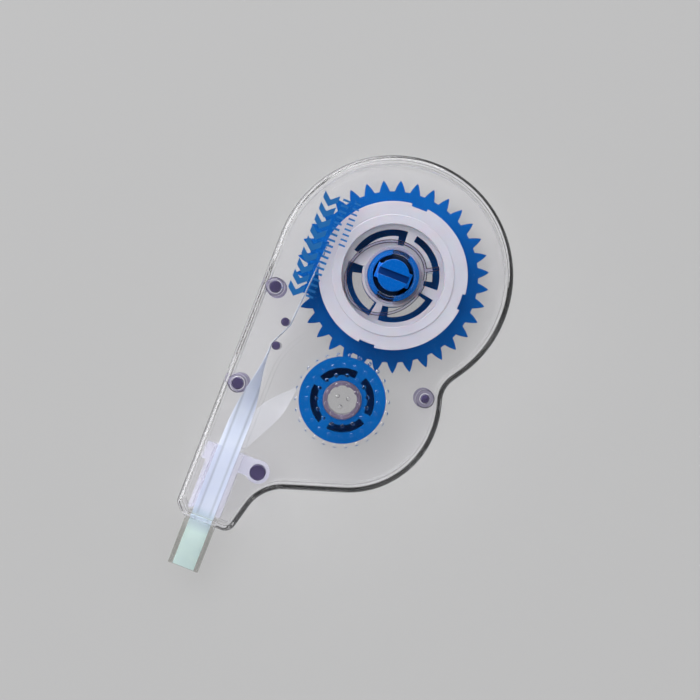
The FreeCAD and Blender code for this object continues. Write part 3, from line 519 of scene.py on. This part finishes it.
# ---------------------------------------------------------------- bearing tube of the take-up wheel
# An open tube moulded on the back cover, which the take-up wheel turns on. Its rim has a small
# lead inside and outside. The plastic is clear, and looks violet through its length.
TUBE_BORE, TUBE_RADIUS, TUBE_TOP = 3.26, 4.25, 10.9
tube = turned("bearing_tube", [(TUBE_BORE, POST_ROOT), (TUBE_RADIUS, POST_ROOT),
                               (TUBE_RADIUS, TUBE_TOP - 0.25), (TUBE_RADIUS - 0.25, TUBE_TOP),
                               (TUBE_BORE + 0.14, TUBE_TOP), (TUBE_BORE, TUBE_TOP - 0.15)],
              TAKE_UP_AXIS)
smooth(tube)
tube_plastic = clear_plastic("bearing tube plastic", (0.22, 0.18, 0.27), (0.16, 0.13, 0.21),
                             (0.85, 0.84, 0.88), gloss=0.15, transmission=0.5)
dress(tube, "housing", tube_plastic, "clear_shell", "back_shell")

# ---------------------------------------------------------------- supply gear
# The large toothed wheel, moulded in blue polypropylene with a hub that stands up through the
# supply spool. Its teeth, hub ring and web windows are one moulding with softened edges.


def copy_of(node, name):
    """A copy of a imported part's mesh, its loose triangles merged into whole faces."""
    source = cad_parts[node]
    piece = bpy.data.objects.new(name, source.data.copy())
    bpy.context.collection.objects.link(piece)
    edit(piece)
    bpy.ops.mesh.select_all(action="SELECT")
    bpy.ops.mesh.remove_doubles(threshold=1e-6)
    bpy.ops.mesh.dissolve_limited(angle_limit=math.radians(0.4))
    close_edit()
    return piece


# Cutter marks left by the turned mould: rings about the part's own axis, uneven in depth.
rings, ring_in, ring_out = node_group(
    "turned rings",
    [("Axis", "NodeSocketVector", (0, 0, 0)), ("Rings per metre", "NodeSocketFloat", 2400.0)],
    [("Height", "NodeSocketFloat"), ("Band", "NodeSocketFloat")])
place = add_node(rings, "TexCoord").outputs["Object"]
arm = add_node(rings, "VectorMath", [(0, place), (1, ring_in.outputs["Axis"])], operation="SUBTRACT")
flat = add_node(rings, "VectorMath", [(0, arm.outputs[0]), (1, (1, 1, 0))], operation="MULTIPLY")
reach = add_node(rings, "VectorMath", [(0, flat.outputs[0])], operation="LENGTH")
phase = add_node(rings, "Math", [(0, reach.outputs["Value"]), (1, ring_in.outputs["Rings per metre"])],
                 operation="MULTIPLY")
wave = add_node(rings, "Math", [(0, phase.outputs[0])], operation="SINE")
patchy = add_node(rings, "TexNoise", [("Vector", place), ("Scale", 160.0)])
uneven = add_node(rings, "Math", [(0, wave.outputs[0]), (1, patchy.outputs["Fac"])],
                  operation="MULTIPLY")
slow = add_node(rings, "Math", [(0, phase.outputs[0]), (1, 0.21)], operation="MULTIPLY")
band = add_node(rings, "TexNoise", [("W", slow.outputs[0]), ("Scale", 1.0), ("Detail", 2.0)],
                noise_dimensions="1D")
rings.links.new(uneven.outputs[0], ring_out.inputs["Height"])
rings.links.new(band.outputs["Fac"], ring_out.inputs["Band"])


def wheel_plastic(name, colour, flow_colour, axis, gloss=0.32, band=0.35, spacing=2400.0, **values):
    """Opaque moulded plastic with turned rings about the wheel's axis, darker in bands."""
    material, tree, shader = start_material(name, **values)
    body = use_group(tree, skin, Colour=(*colour, 1), Flow_Colour=(*flow_colour, 1), Gloss=gloss)
    turning = use_group(tree, rings, Axis=(axis[0] * MM, axis[1] * MM, 0), Rings_per_metre=spacing)
    darker = add_node(tree, "Mix", [(0, turning.outputs["Band"]), (6, body.outputs["Colour"]),
                                    (7, tuple(c * (1 - band) for c in colour) + (1,))],
                      data_type="RGBA")
    ease = add_node(tree, "Mix", [(0, 0.35), (6, body.outputs["Colour"]), (7, darker.outputs[2])],
                    data_type="RGBA")
    tree.links.new(ease.outputs[2], shader.inputs["Base Color"])
    tree.links.new(body.outputs["Roughness"], shader.inputs["Roughness"])
    height = add_node(tree, "Math", [(0, turning.outputs["Height"]), (1, body.outputs["Height"])])
    feed_bump(tree, shader, height.outputs[0], 0.35, 0.012)
    return material


gear = copy_of("supply_gear", "supply_gear_moulding")
soften(gear, 0.09)
blue = wheel_plastic("blue polypropylene", (0.0003, 0.1, 0.39), (0.0003, 0.08, 0.33), GEAR_AXIS,
                     Specular_IOR_Level=0.06)
dress(gear, "gear", blue, "blue_plastic", "supply_gear")

# ---------------------------------------------------------------- tension knob
# The blue cap in the gear's hub: a low round head with a coin slot, on a bridge that spans the
# ring. It turns the clutch and shows through the hole in the front cover.
knob = copy_of("tension_knob", "tension_knob_cap")
soften(knob, 0.14, 3)
knob_blue = wheel_plastic("knob blue", (0.001, 0.17, 0.72), (0.001, 0.14, 0.63), GEAR_AXIS,
                          gloss=0.26, Specular_IOR_Level=0.15)
# Painted shade: the knob's seat, deep in the gap round the knob, is coloured near black.
seat_painted_shade = wheel_plastic("knob seat, painted shade", (0.001, 0.012, 0.04), (0.001, 0.008, 0.03),
                          GEAR_AXIS, gloss=0.4, Specular_IOR_Level=0.15)
dress(knob, "gear", knob_blue, "blue_plastic", "tension_knob")
# Painted shade: the coin slot's floor and walls are a darker blue than the knob's head.
slot_painted_shade = wheel_plastic("coin slot", (0.0005, 0.05, 0.27), (0.0005, 0.04, 0.22), GEAR_AXIS,
                          gloss=0.4, Specular_IOR_Level=0.1)
knob.data.materials.append(seat_painted_shade)
knob.data.materials.append(slot_painted_shade)
KNOB_SEAT_TOP, SLOT_HALF, SLOT_FLOOR, SLOT_RIM = 9.45, 0.8, 11.6, 12.5
for face in knob.data.polygons:
    height = face.center.z / MM
    if height < KNOB_SEAT_TOP:
        face.material_index = 1
    elif abs(face.center.y / MM - GEAR_AXIS[1]) < SLOT_HALF and SLOT_FLOOR < height < SLOT_RIM:
        face.material_index = 2
# Painted shade: the gear's hub faces in the notch under the knob take the same near-black material.
HUB_NOTCH_LOW, HUB_NOTCH_HIGH, HUB_RADIUS = 8.1, 8.7, 5.8
gear.data.materials.append(seat_painted_shade)
for face in gear.data.polygons:
    in_hub = math.dist(face.center.xy / MM, GEAR_AXIS) < HUB_RADIUS
    if in_hub and HUB_NOTCH_LOW < face.center.z / MM < HUB_NOTCH_HIGH:
        face.material_index = 1

# ---------------------------------------------------------------- clutch spring
# A thin oval loop with a lug and a finger, moulded in springy clear plastic and keyed to the hub.
# It rubs inside the supply spool's core and keeps the tape taut.
spring = copy_of("clutch_spring", "clutch_spring_loop")
soften(spring, 0.21)
spring_plastic = clear_plastic("spring plastic", (0.86, 0.85, 0.93), (0.78, 0.77, 0.88),
                               (0.96, 0.96, 0.98), gloss=0.06, ior=1.35)
# Painted shade: the spring's side walls, outside its collar, are coloured near black, which draws the
# clear loop's dark outlines.
spring_side_shade = clear_plastic("spring edge, painted shade", (0.016, 0.012, 0.045), (0.01, 0.008, 0.03),
                            (0.9, 0.89, 0.93), gloss=0.2, transmission=0.1)
dress(spring, "gear", spring_plastic, "clear_spring", "clutch_spring")
spring.data.materials.append(spring_side_shade)
SPRING_COLLAR = 6.7
for face in spring.data.polygons:
    if abs(face.normal.z) < 0.96 and math.dist(face.center.xy / MM, GEAR_AXIS) > SPRING_COLLAR:
        face.material_index = 1

# ---------------------------------------------------------------- supply spool
# The white spool that carries the new tape: a core with an arc-windowed web, and a thin front
# flange with a raised rim and four small notches.
spool = copy_of("supply_spool", "supply_spool_moulding")
soften(spool, 0.08)
white = wheel_plastic("spool white", (0.5, 0.5, 0.56), (0.45, 0.45, 0.52), GEAR_AXIS, gloss=0.3,
                      band=0.16, spacing=3200.0, Subsurface_Weight=0.35, Subsurface_Scale=0.0015)
dress(spool, "supply", white, "spool_plastic", "supply_spool")

# ---------------------------------------------------------------- roll of correction tape
# Silicone-coated carrier with its layer of white correction film, wound on the core. The layers
# end at slightly different heights, as any wound tape does.


def wound_roll(name, inner, outer, low, high, pitch, centre, rough):
    """A ring whose two flat sides step up and down by a hair from layer to layer."""
    groove = 0.004
    layers = max(2, round((outer - inner) / pitch))
    edge_radii = [inner + (outer - inner) * step / layers for step in range(layers + 1)]
    top, bottom = [], []
    for start, end in zip(edge_radii, edge_radii[1:]):
        lift, drop = random.uniform(-rough, 0), random.uniform(0, rough)
        top += [(start + groove, high + lift), (end - groove, high + lift)]
        bottom += [(start + groove, low + drop), (end - groove, low + drop)]
    return turned(name, bottom + top[::-1], centre, 128)


random.seed(8)
TAPE_LOW, TAPE_HIGH = 4.0, 9.0
roll = wound_roll("tape_roll", 12.32, 15.8, TAPE_LOW, TAPE_HIGH, 0.16, GEAR_AXIS, 0.05)
smooth(roll, 25)


def tape_material(name, colour, flow_colour, axis, gloss):
    """Wound tape: each layer's edge is a fine ring, a little lighter or darker than the next."""
    material, tree, shader = start_material(name, Sheen_Weight=0.15)
    body = use_group(tree, skin, Colour=(*colour, 1), Flow_Colour=(*flow_colour, 1),
                     Flow_Scale=200.0, Grain_Scale=2600.0, Gloss=gloss)
    layers = use_group(tree, rings, Axis=(axis[0] * MM, axis[1] * MM, 0), Rings_per_metre=39000.0)
    shade = add_node(tree, "MapRange", [("Value", layers.outputs["Band"]), ("To Min", 0.82),
                                        ("To Max", 1.08)])
    tone = add_node(tree, "VectorMath", [(0, body.outputs["Colour"]), (1, shade.outputs[0])],
                    operation="MULTIPLY")
    tree.links.new(tone.outputs[0], shader.inputs["Base Color"])
    tree.links.new(body.outputs["Roughness"], shader.inputs["Roughness"])
    feed_bump(tree, shader, layers.outputs["Height"], 0.5, 0.01)
    return material


new_tape = tape_material("wound correction tape", (0.8, 0.81, 0.83), (0.74, 0.76, 0.8), GEAR_AXIS, 0.5)
dress(roll, "supply", new_tape, "correction_tape", "tape_supply_roll")

# ---------------------------------------------------------------- take-up wheel
# The small blue wheel that winds up the emptied carrier: a pinion driven by the supply gear, a
# drum, and a front flange with four curved slots.
take_up = copy_of("take_up_spool", "take_up_wheel")
soften(take_up, 0.09)
take_up_blue = wheel_plastic("take-up blue", (0.0003, 0.1, 0.36), (0.0003, 0.08, 0.3), TAKE_UP_AXIS,
                             Specular_IOR_Level=0.06)
dress(take_up, "take_up", take_up_blue, "blue_plastic", "take_up_spool")

SPENT_RADIUS = 8.3
spent = wound_roll("spent_carrier_coil", 7.72, SPENT_RADIUS, TAPE_LOW, TAPE_HIGH, 0.14, TAKE_UP_AXIS,
                   0.06)
smooth(spent, 25)
spent_film = clear_plastic("spent carrier", (0.86, 0.88, 0.92), (0.78, 0.8, 0.86), (0.93, 0.94, 0.96),
                           gloss=0.2, transmission=0.7, ior=1.3)
dress(spent, "take_up", spent_film, "spent_film", "spent_carrier_roll")

# ---------------------------------------------------------------- tip holder
# A milky channel clamped between the covers: two side walls joined by a web, an ear that drops
# over the holder post, and a small latch on the other side.
HOLDER_TOP_Y = -23.4
HOLDER_FOOT_Y = -38.3
HOLDER_HALF, HOLDER_WALL = 3.75, 0.8
WEB = (6.05, 6.95)
ARM = (5.7, 7.3)
HOLE_THROUGH = (5.0, 8.0)
holder = plate("tip_holder_channel",
               box_outline(TIP_X - HOLDER_HALF, TIP_X + HOLDER_HALF, HOLDER_FOOT_Y, HOLDER_TOP_Y), *WEB)
for x_low in (TIP_X - HOLDER_HALF, TIP_X + HOLDER_HALF - HOLDER_WALL):
    wall = plate("wall", box_outline(x_low, x_low + HOLDER_WALL, HOLDER_FOOT_Y, HOLDER_TOP_Y), 3.6, 9.4)
    combine(holder, wall, "UNION")
for name, outline, heights, operation in (
        ("arm", box_outline(TIP_X + 3.0, HOLDER_POST[0], -27.6, HOLDER_TOP_Y), ARM, "UNION"),
        ("latch", box_outline(TIP_X - 5.0, TIP_X - 3.3, -27.4, HOLDER_TOP_Y), ARM, "UNION"),
        ("ear", disc_outline(2.6, HOLDER_POST, 48), ARM, "UNION"),
        ("ear_hole", disc_outline(1.84, HOLDER_POST, 48), HOLE_THROUGH, "DIFFERENCE"),
        ("shank_slot", box_outline(TIP_X - 1.45, TIP_X + 1.45, -39.3, -24.9), HOLE_THROUGH,
         "DIFFERENCE")):
    combine(holder, plate(name, outline, *heights), operation)
soften(holder, 0.1)
milky = clear_plastic("milky plastic", (0.74, 0.74, 0.82), (0.68, 0.68, 0.77), (0.92, 0.92, 0.95),
                      gloss=0.2, transmission=0.55, flow_scale=120.0)
dress(holder, "housing", milky, "milky_plastic", "tip_holder")

# ---------------------------------------------------------------- applicator tip
# The smoky clear blade that presses the tape down: a thin plate between two rails, all tapering
# to the working edge, with a shank that slides into the holder.


def wedge(name, x_low, x_high, y_thick, y_thin, thick, thin):
    """A plate that tapers in thickness along its length, about the parting plane."""
    blade = plate(name, box_outline(x_low, x_high, y_thin, y_thick), PARTING - thick / 2,
                  PARTING + thick / 2)
    for corner in blade.data.vertices:
        if abs(corner.co.y - y_thin * MM) < 1e-6:
            side = math.copysign(1.0, corner.co.z - PARTING * MM)
            corner.co.z = (PARTING + side * thin / 2) * MM
    return blade


TIP_END_Y = -51.7
TIP_NECK_Y = -39.2
RAIL_INNER, RAIL_OUTER, NECK_OUTER = 2.5, 3.53, 3.2
RAIL_THICK = 3.2
tip = wedge("applicator_blade", TIP_X - 2.55, TIP_X + 2.55, TIP_NECK_Y, TIP_END_Y, 0.9, 0.4)
shank = plate("shank", box_outline(TIP_X - 1.4, TIP_X + 1.4, -39.7, -25.0), *WEB)
combine(tip, shank, "UNION")
for side in (-1, 1):
    edges = sorted((TIP_X + side * RAIL_INNER, TIP_X + side * RAIL_OUTER))
    combine(tip, wedge("rail", *edges, -41.2, TIP_END_Y, RAIL_THICK, 1.0), "UNION")
    edges = sorted((TIP_X + side * RAIL_INNER, TIP_X + side * NECK_OUTER))
    combine(tip, wedge("neck", *edges, TIP_NECK_Y, -41.25, RAIL_THICK, 3.19), "UNION")
soften(tip, 0.12, 3)
smoky = clear_plastic("smoky tip plastic", (0.56, 0.56, 0.54), (0.46, 0.46, 0.44), (0.8, 0.81, 0.8),
                      gloss=0.12, transmission=0.7)
dress(tip, "housing", smoky, "tip_plastic", "applicator_tip")

# ---------------------------------------------------------------- tape to and from the tip
# The same tape, 5 mm wide: it leaves the supply roll on its edge, weaves between the two guide
# pins, twists flat into the holder and folds round the tip's edge back to the take-up drum.
TAPE_HALF = 2.5
TAPE_FILM = 0.12


def ribbon(name, stations):
    """A thin band swept along a path; each station is (x, y, z, lean), with lean 90 lying flat."""
    band = bpy.data.curves.new(name, "CURVE")
    band.dimensions = "3D"
    band.twist_mode = "Z_UP"
    band.extrude = (TAPE_HALF - TAPE_FILM / 2) * MM
    band.bevel_depth = TAPE_FILM / 2 * MM
    band.bevel_resolution = 1
    band.use_fill_caps = True
    path = band.splines.new("POLY")
    path.points.add(len(stations) - 1)
    for point, (x, y, z, lean) in zip(path.points, stations):
        point.co = (x * MM, y * MM, z * MM, 1)
        point.tilt = math.radians(lean)
    draft = bpy.data.objects.new(name, band)
    bpy.context.collection.objects.link(draft)
    bpy.ops.object.select_all(action="DESELECT")
    draft.select_set(True)
    bpy.context.view_layer.objects.active = draft
    bpy.ops.object.convert(target="MESH")
    piece = bpy.context.object
    edit(piece)
    bpy.ops.mesh.select_all(action="SELECT")
    bpy.ops.mesh.remove_doubles(threshold=1e-7)
    bpy.ops.mesh.normals_make_consistent(inside=False)
    close_edit()
    smooth(piece, 50)
    return piece


def between(start, end, steps, twisting=False):
    """Stations from start to end; where the band twists, its lean eases in and out."""
    stations = []
    for step in range(steps):
        share = step / steps
        lean_share = share * share * (3 - 2 * share) if twisting else share
        spot = [a + (b - a) * share for a, b in zip(start[:3], end[:3])]
        stations.append((*spot, start[3] + (end[3] - start[3]) * lean_share))
    return stations


# The film lies a hair off the blade, which is 0.9 mm thick at its neck and 0.4 mm at its edge.
film_at_neck = 0.45 + TAPE_FILM / 2 + 0.02
film_at_end = 0.2 + TAPE_FILM / 2 + 0.02
pin_path = 0.95 + 2 * TAPE_FILM
cross_angle = math.degrees(math.asin(2 * pin_path / (GUIDE_PINS[0][1] - GUIDE_PINS[1][1])))
leave = (*polar(16.0, 175.2, GEAR_AXIS), PARTING, 0.0)
first_arc = [(*polar(pin_path, angle, GUIDE_PINS[0]), PARTING, 0.0)
             for angle in (7, 0, -cross_angle / 2, -cross_angle)]
second_arc = [(*polar(pin_path, angle, GUIDE_PINS[1]), PARTING, 0.0)
              for angle in (180 - cross_angle, 180 - cross_angle / 2, 180)]
twist_start = (GUIDE_PINS[1][0] - pin_path, GUIDE_PINS[1][1] - 1.0, PARTING, 0.0)
entry = (TIP_X, HOLDER_TOP_Y, PARTING + film_at_neck, 90.0)
neck = (TIP_X, TIP_NECK_Y, PARTING + film_at_neck, 90.0)
working_edge = (TIP_X, TIP_END_Y + 0.1, PARTING + film_at_end, 90.0)
outgoing = (between(leave, first_arc[0], 6) + first_arc + second_arc
            + between(twist_start, entry, 40, True) + between(entry, neck, 6)
            + between(neck, working_edge, 6) + [working_edge])
supply_run = ribbon("tape_supply_band", outgoing)
run_tape, tree, shader = start_material("correction tape", Alpha=0.8)
body = use_group(tree, skin, Colour=(1, 1, 1, 1), Flow_Colour=(0.93, 0.94, 0.97, 1),
                 Flow_Scale=240.0, Grain_Scale=2600.0, Gloss=0.42)
spot = add_node(tree, "SeparateXYZ", [(0, add_node(tree, "TexCoord").outputs["Object"])])
# A blue-lavender tint along the tape, with painted shade where it runs through the mouth and painted
# light beyond it, along the blade.
along = add_node(tree, "MapRange", [("Value", spot.outputs["Y"]), ("From Min", -37.5 * MM),
                                    ("From Max", -43.5 * MM)])
tape_tint_shade_and_light = add_node(tree, "ValToRGB", [("Fac", along.outputs[0])])
tape_tint_shade_and_light.color_ramp.elements[0].color = (0.68, 0.74, 0.86, 1)
tape_tint_shade_and_light.color_ramp.elements[1].color = (0.79, 0.98, 0.94, 1)
for place_along, colour in ((0.25, (0.5, 0.6, 0.7, 1)), (0.55, (0.5, 0.61, 0.69, 1))):
    tape_tint_shade_and_light.color_ramp.elements.new(place_along).color = colour
toned = add_node(tree, "VectorMath", [(0, body.outputs["Colour"]), (1, tape_tint_shade_and_light.outputs["Color"])],
                 operation="MULTIPLY")
# Painted shade: two long dark lines along the creases that the holder's slot presses into the tape.
crease_shades = []
for crease_x in (-21.35, -18.5):
    off = add_node(tree, "Math", [(0, spot.outputs["X"]), (1, crease_x * MM)], operation="SUBTRACT")
    gap = add_node(tree, "Math", [(0, off.outputs[0])], operation="ABSOLUTE")
    crease_shades.append(add_node(tree, "MapRange", [("Value", gap.outputs[0]), ("From Min", 0.08 * MM),
                                               ("From Max", 0.4 * MM), ("To Min", 0.72),
                                               ("To Max", 1.0)]))
crease_shade_line = add_node(tree, "Math", [(0, crease_shades[0].outputs[0]), (1, crease_shades[1].outputs[0])],
                  operation="MINIMUM")
inside = add_node(tree, "MapRange", [("Value", spot.outputs["Y"]), ("From Min", -41.0 * MM),
                                     ("From Max", -38.5 * MM)])
crease_shade_in_holder = add_node(tree, "Mix", [(0, inside.outputs[0]), (2, 1.0), (3, crease_shade_line.outputs[0])])
final = add_node(tree, "VectorMath", [(0, toned.outputs[0]), (1, crease_shade_in_holder.outputs[0])],
                 operation="MULTIPLY")
tree.links.new(final.outputs[0], shader.inputs["Base Color"])
tree.links.new(body.outputs["Roughness"], shader.inputs["Roughness"])
feed_bump(tree, shader, body.outputs["Height"], 0.3, 0.01)
dress(supply_run, "housing", run_tape, "correction_tape", "tape_supply_run")

# The emptied carrier goes back under the blade and the holder, stands up on its edge, and meets
# the take-up drum where its path just touches the coil.
centre = Vector(TAKE_UP_AXIS)
away = Vector((TIP_X, HOLDER_TOP_Y)) - centre
drum_reach = SPENT_RADIUS + 0.2
bearing = math.degrees(math.atan2(away.y, away.x) - math.acos(drum_reach / away.length))
arrive = polar(drum_reach, bearing, TAKE_UP_AXIS)


def on_way(share):
    return (TIP_X + (arrive[0] - TIP_X) * share, HOLDER_TOP_Y + (arrive[1] - HOLDER_TOP_Y) * share)


under = PARTING - film_at_neck
film_edge = (TIP_X, TIP_END_Y + 0.1, PARTING - film_at_end, 90.0)
film_neck = (TIP_X, TIP_NECK_Y, under, 90.0)
film_out = (*on_way(0), under, 90.0)
film_turn = (*on_way(0.35), under, 90.0)
film_upright = (*on_way(0.85), PARTING, 0.0)
film_arrival = (*arrive, PARTING, 0.0)
returning = (between(film_edge, film_neck, 6) + between(film_neck, film_out, 6)
             + between(film_out, film_turn, 4) + between(film_turn, film_upright, 24, True)
             + between(film_upright, film_arrival, 3) + [film_arrival])
return_run = ribbon("carrier_return_band", returning)
return_film, tree, shader = start_material("returning carrier", Alpha=0.08)
body = use_group(tree, skin, Colour=(0.72, 0.74, 0.82, 1), Flow_Colour=(0.64, 0.66, 0.76, 1),
                 Flow_Scale=240.0, Grain_Scale=2600.0, Gloss=0.25)
tree.links.new(body.outputs["Colour"], shader.inputs["Base Color"])
tree.links.new(body.outputs["Roughness"], shader.inputs["Roughness"])
feed_bump(tree, shader, body.outputs["Height"], 0.3, 0.01)
dress(return_run, "housing", return_film, "spent_film", "carrier_return_run")

# ---------------------------------------------------------------- print on the front cover
# One pass of blue ink on the outside of the front cover: a plain row of arrowheads that point to
# the tip, and beside it a long and a short row of plain ticks. There is no lettering.
INK_LOW = 13.004
INK_HIGH = 13.03


def tick_row(name, x_low, x_high, y_start, y_end, count, thick):
    """A row of plain upright bars, evenly set along the cover, as one piece of ink film."""
    bars = []
    for place in range(count):
        y = y_start + (y_end - y_start - thick) * place / (count - 1)
        bars.append(plate(f"{name}_{place + 1}", box_outline(x_low, x_high, y, y + thick), INK_LOW,
                          INK_HIGH))
    bpy.ops.object.select_all(action="DESELECT")
    for bar in bars:
        bar.select_set(True)
    bpy.context.view_layer.objects.active = bars[0]
    bpy.ops.object.join()
    bars[0].name = name
    return bars[0]


prints = [
    tick_row("print_long_tick_row", -16.2, -14.5, 14.1, 37.0, 18, 0.5),
    tick_row("print_short_tick_row", -13.6, -12.1, 27.1, 37.1, 9, 0.4),
]
ARROW_X, ARROW_HALF, ARROW_DEEP, ARROW_BAND = -18.75, 1.75, 1.5, 1.55
ARROW_START_Y, ARROW_PITCH, ARROWS = 13.2, 2.62, 9
for step in range(ARROWS):
    y = ARROW_START_Y + ARROW_PITCH * step
    left, right = ARROW_X - ARROW_HALF, ARROW_X + ARROW_HALF
    shoulder = y + ARROW_DEEP
    head = [(ARROW_X, y), (right, shoulder), (right, shoulder + ARROW_BAND), (ARROW_X, y + ARROW_BAND),
            (left, shoulder + ARROW_BAND), (left, shoulder)]
    prints.append(plate(f"print_arrow_{step + 1}", head, INK_LOW, INK_HIGH))
ink, tree, shader = start_material("blue ink")
body = use_group(tree, skin, Colour=(0.002, 0.16, 0.49, 1), Flow_Colour=(0.002, 0.14, 0.44, 1),
                 Flow_Scale=300.0, Grain_Scale=3200.0, Gloss=0.35)
tree.links.new(body.outputs["Colour"], shader.inputs["Base Color"])
tree.links.new(body.outputs["Roughness"], shader.inputs["Roughness"])
feed_bump(tree, shader, body.outputs["Height"], 0.2, 0.005)
for mark in prints:
    dress(mark, "housing", ink, "blue_plastic")

# ---------------------------------------------------------------- studio
# A pale matt floor, an even soft sky that is darker straight overhead and to the lower right, a
# weak key light, and two low strips at the upper left that brighten the edge of the clear covers.
bpy.ops.object.select_all(action="DESELECT")
bpy.ops.mesh.primitive_plane_add(size=6.0, location=(0, 0, -0.0001))
floor = bpy.context.object
floor.name = "studio_floor"
paper, tree, shader = start_material("floor paper", Roughness=0.7)
shader.inputs["Base Color"].default_value = (0.16, 0.16, 0.162, 1)
shader.inputs["Specular IOR Level"].default_value = 0.1
shader.inputs["Emission Color"].default_value = (1, 1, 1, 1)
shader.inputs["Emission Strength"].default_value = 0.39
floor.data.materials.append(paper)

sky = bpy.data.worlds.new("studio sky")
bpy.context.scene.world = sky
sky.use_nodes = True
tree = sky.node_tree
way = add_node(tree, "TexCoord").outputs["Generated"]
up = add_node(tree, "SeparateXYZ", [(0, way)])
height = add_node(tree, "MapRange", [("Value", up.outputs["Z"]), ("From Min", 0.0), ("From Max", 1.0)])
ramp = add_node(tree, "ValToRGB", [("Fac", height.outputs[0])])
levels = ramp.color_ramp
levels.elements[0].position = 0.0
levels.elements[0].color = (0.55, 0.55, 0.56, 1)
levels.elements[1].position = 1.0
levels.elements[1].color = (0.05, 0.05, 0.055, 1)
for spot, level in ((0.25, 0.85), (0.78, 1.25), (0.92, 0.12)):
    element = levels.elements.new(spot)
    element.color = (level, level, level * 1.01, 1)
side = add_node(tree, "VectorMath", [(0, way), (1, (-0.62, 0.72, 0.0))], operation="DOT_PRODUCT")
lean = add_node(tree, "MapRange", [("Value", side.outputs["Value"]), ("From Min", -1.0),
                                   ("From Max", 1.0), ("To Min", 0.45), ("To Max", 1.5)])
shape = add_node(tree, "VectorMath", [(0, ramp.outputs["Color"]), (1, lean.outputs[0])],
                 operation="MULTIPLY")
tree.links.new(shape.outputs[0], tree.nodes["Background"].inputs["Color"])
tree.nodes["Background"].inputs["Strength"].default_value = 0.78


def softbox(name, spot, aim, width, height, power):
    lamp = bpy.data.lights.new(name, "AREA")
    lamp.shape = "RECTANGLE"
    lamp.size = width
    lamp.size_y = height
    lamp.energy = power
    light = bpy.data.objects.new(name, lamp)
    bpy.context.collection.objects.link(light)
    light.location = spot
    light.rotation_euler = (Vector(aim) - Vector(spot)).to_track_quat("-Z", "Y").to_euler()
    return light


STRIP_HEIGHT = 0.3
STRIP_POWER = 26  # watts for each square metre
for name, spot, width in (("left strip", (-0.46, 0.1, 0.2), 0.8), ("far strip", (-0.2, 0.44, 0.2), 0.5)):
    strip = softbox(name, spot, (0, 0.01, 0.005), width, STRIP_HEIGHT, STRIP_POWER * width * STRIP_HEIGHT)
    strip.visible_diffuse = strip.visible_transmission = False
softbox("key", (-0.35, 0.3, 0.55), (0, 0, 0), 0.35, 0.35, 1.0)

camera_data = bpy.data.cameras.new("camera")
camera = bpy.data.objects.new("camera", camera_data)
bpy.context.collection.objects.link(camera)
camera.location = (-0.0029, 0.0067, 0.3565)
camera.rotation_euler = (0, 0, math.radians(21.3))
camera_data.sensor_width = 36
camera_data.lens = 81
camera_data.clip_start = 0.001
bpy.context.scene.camera = camera
bpy.context.scene.cycles.use_denoising = True
bpy.context.scene.view_settings.view_transform = "Standard"
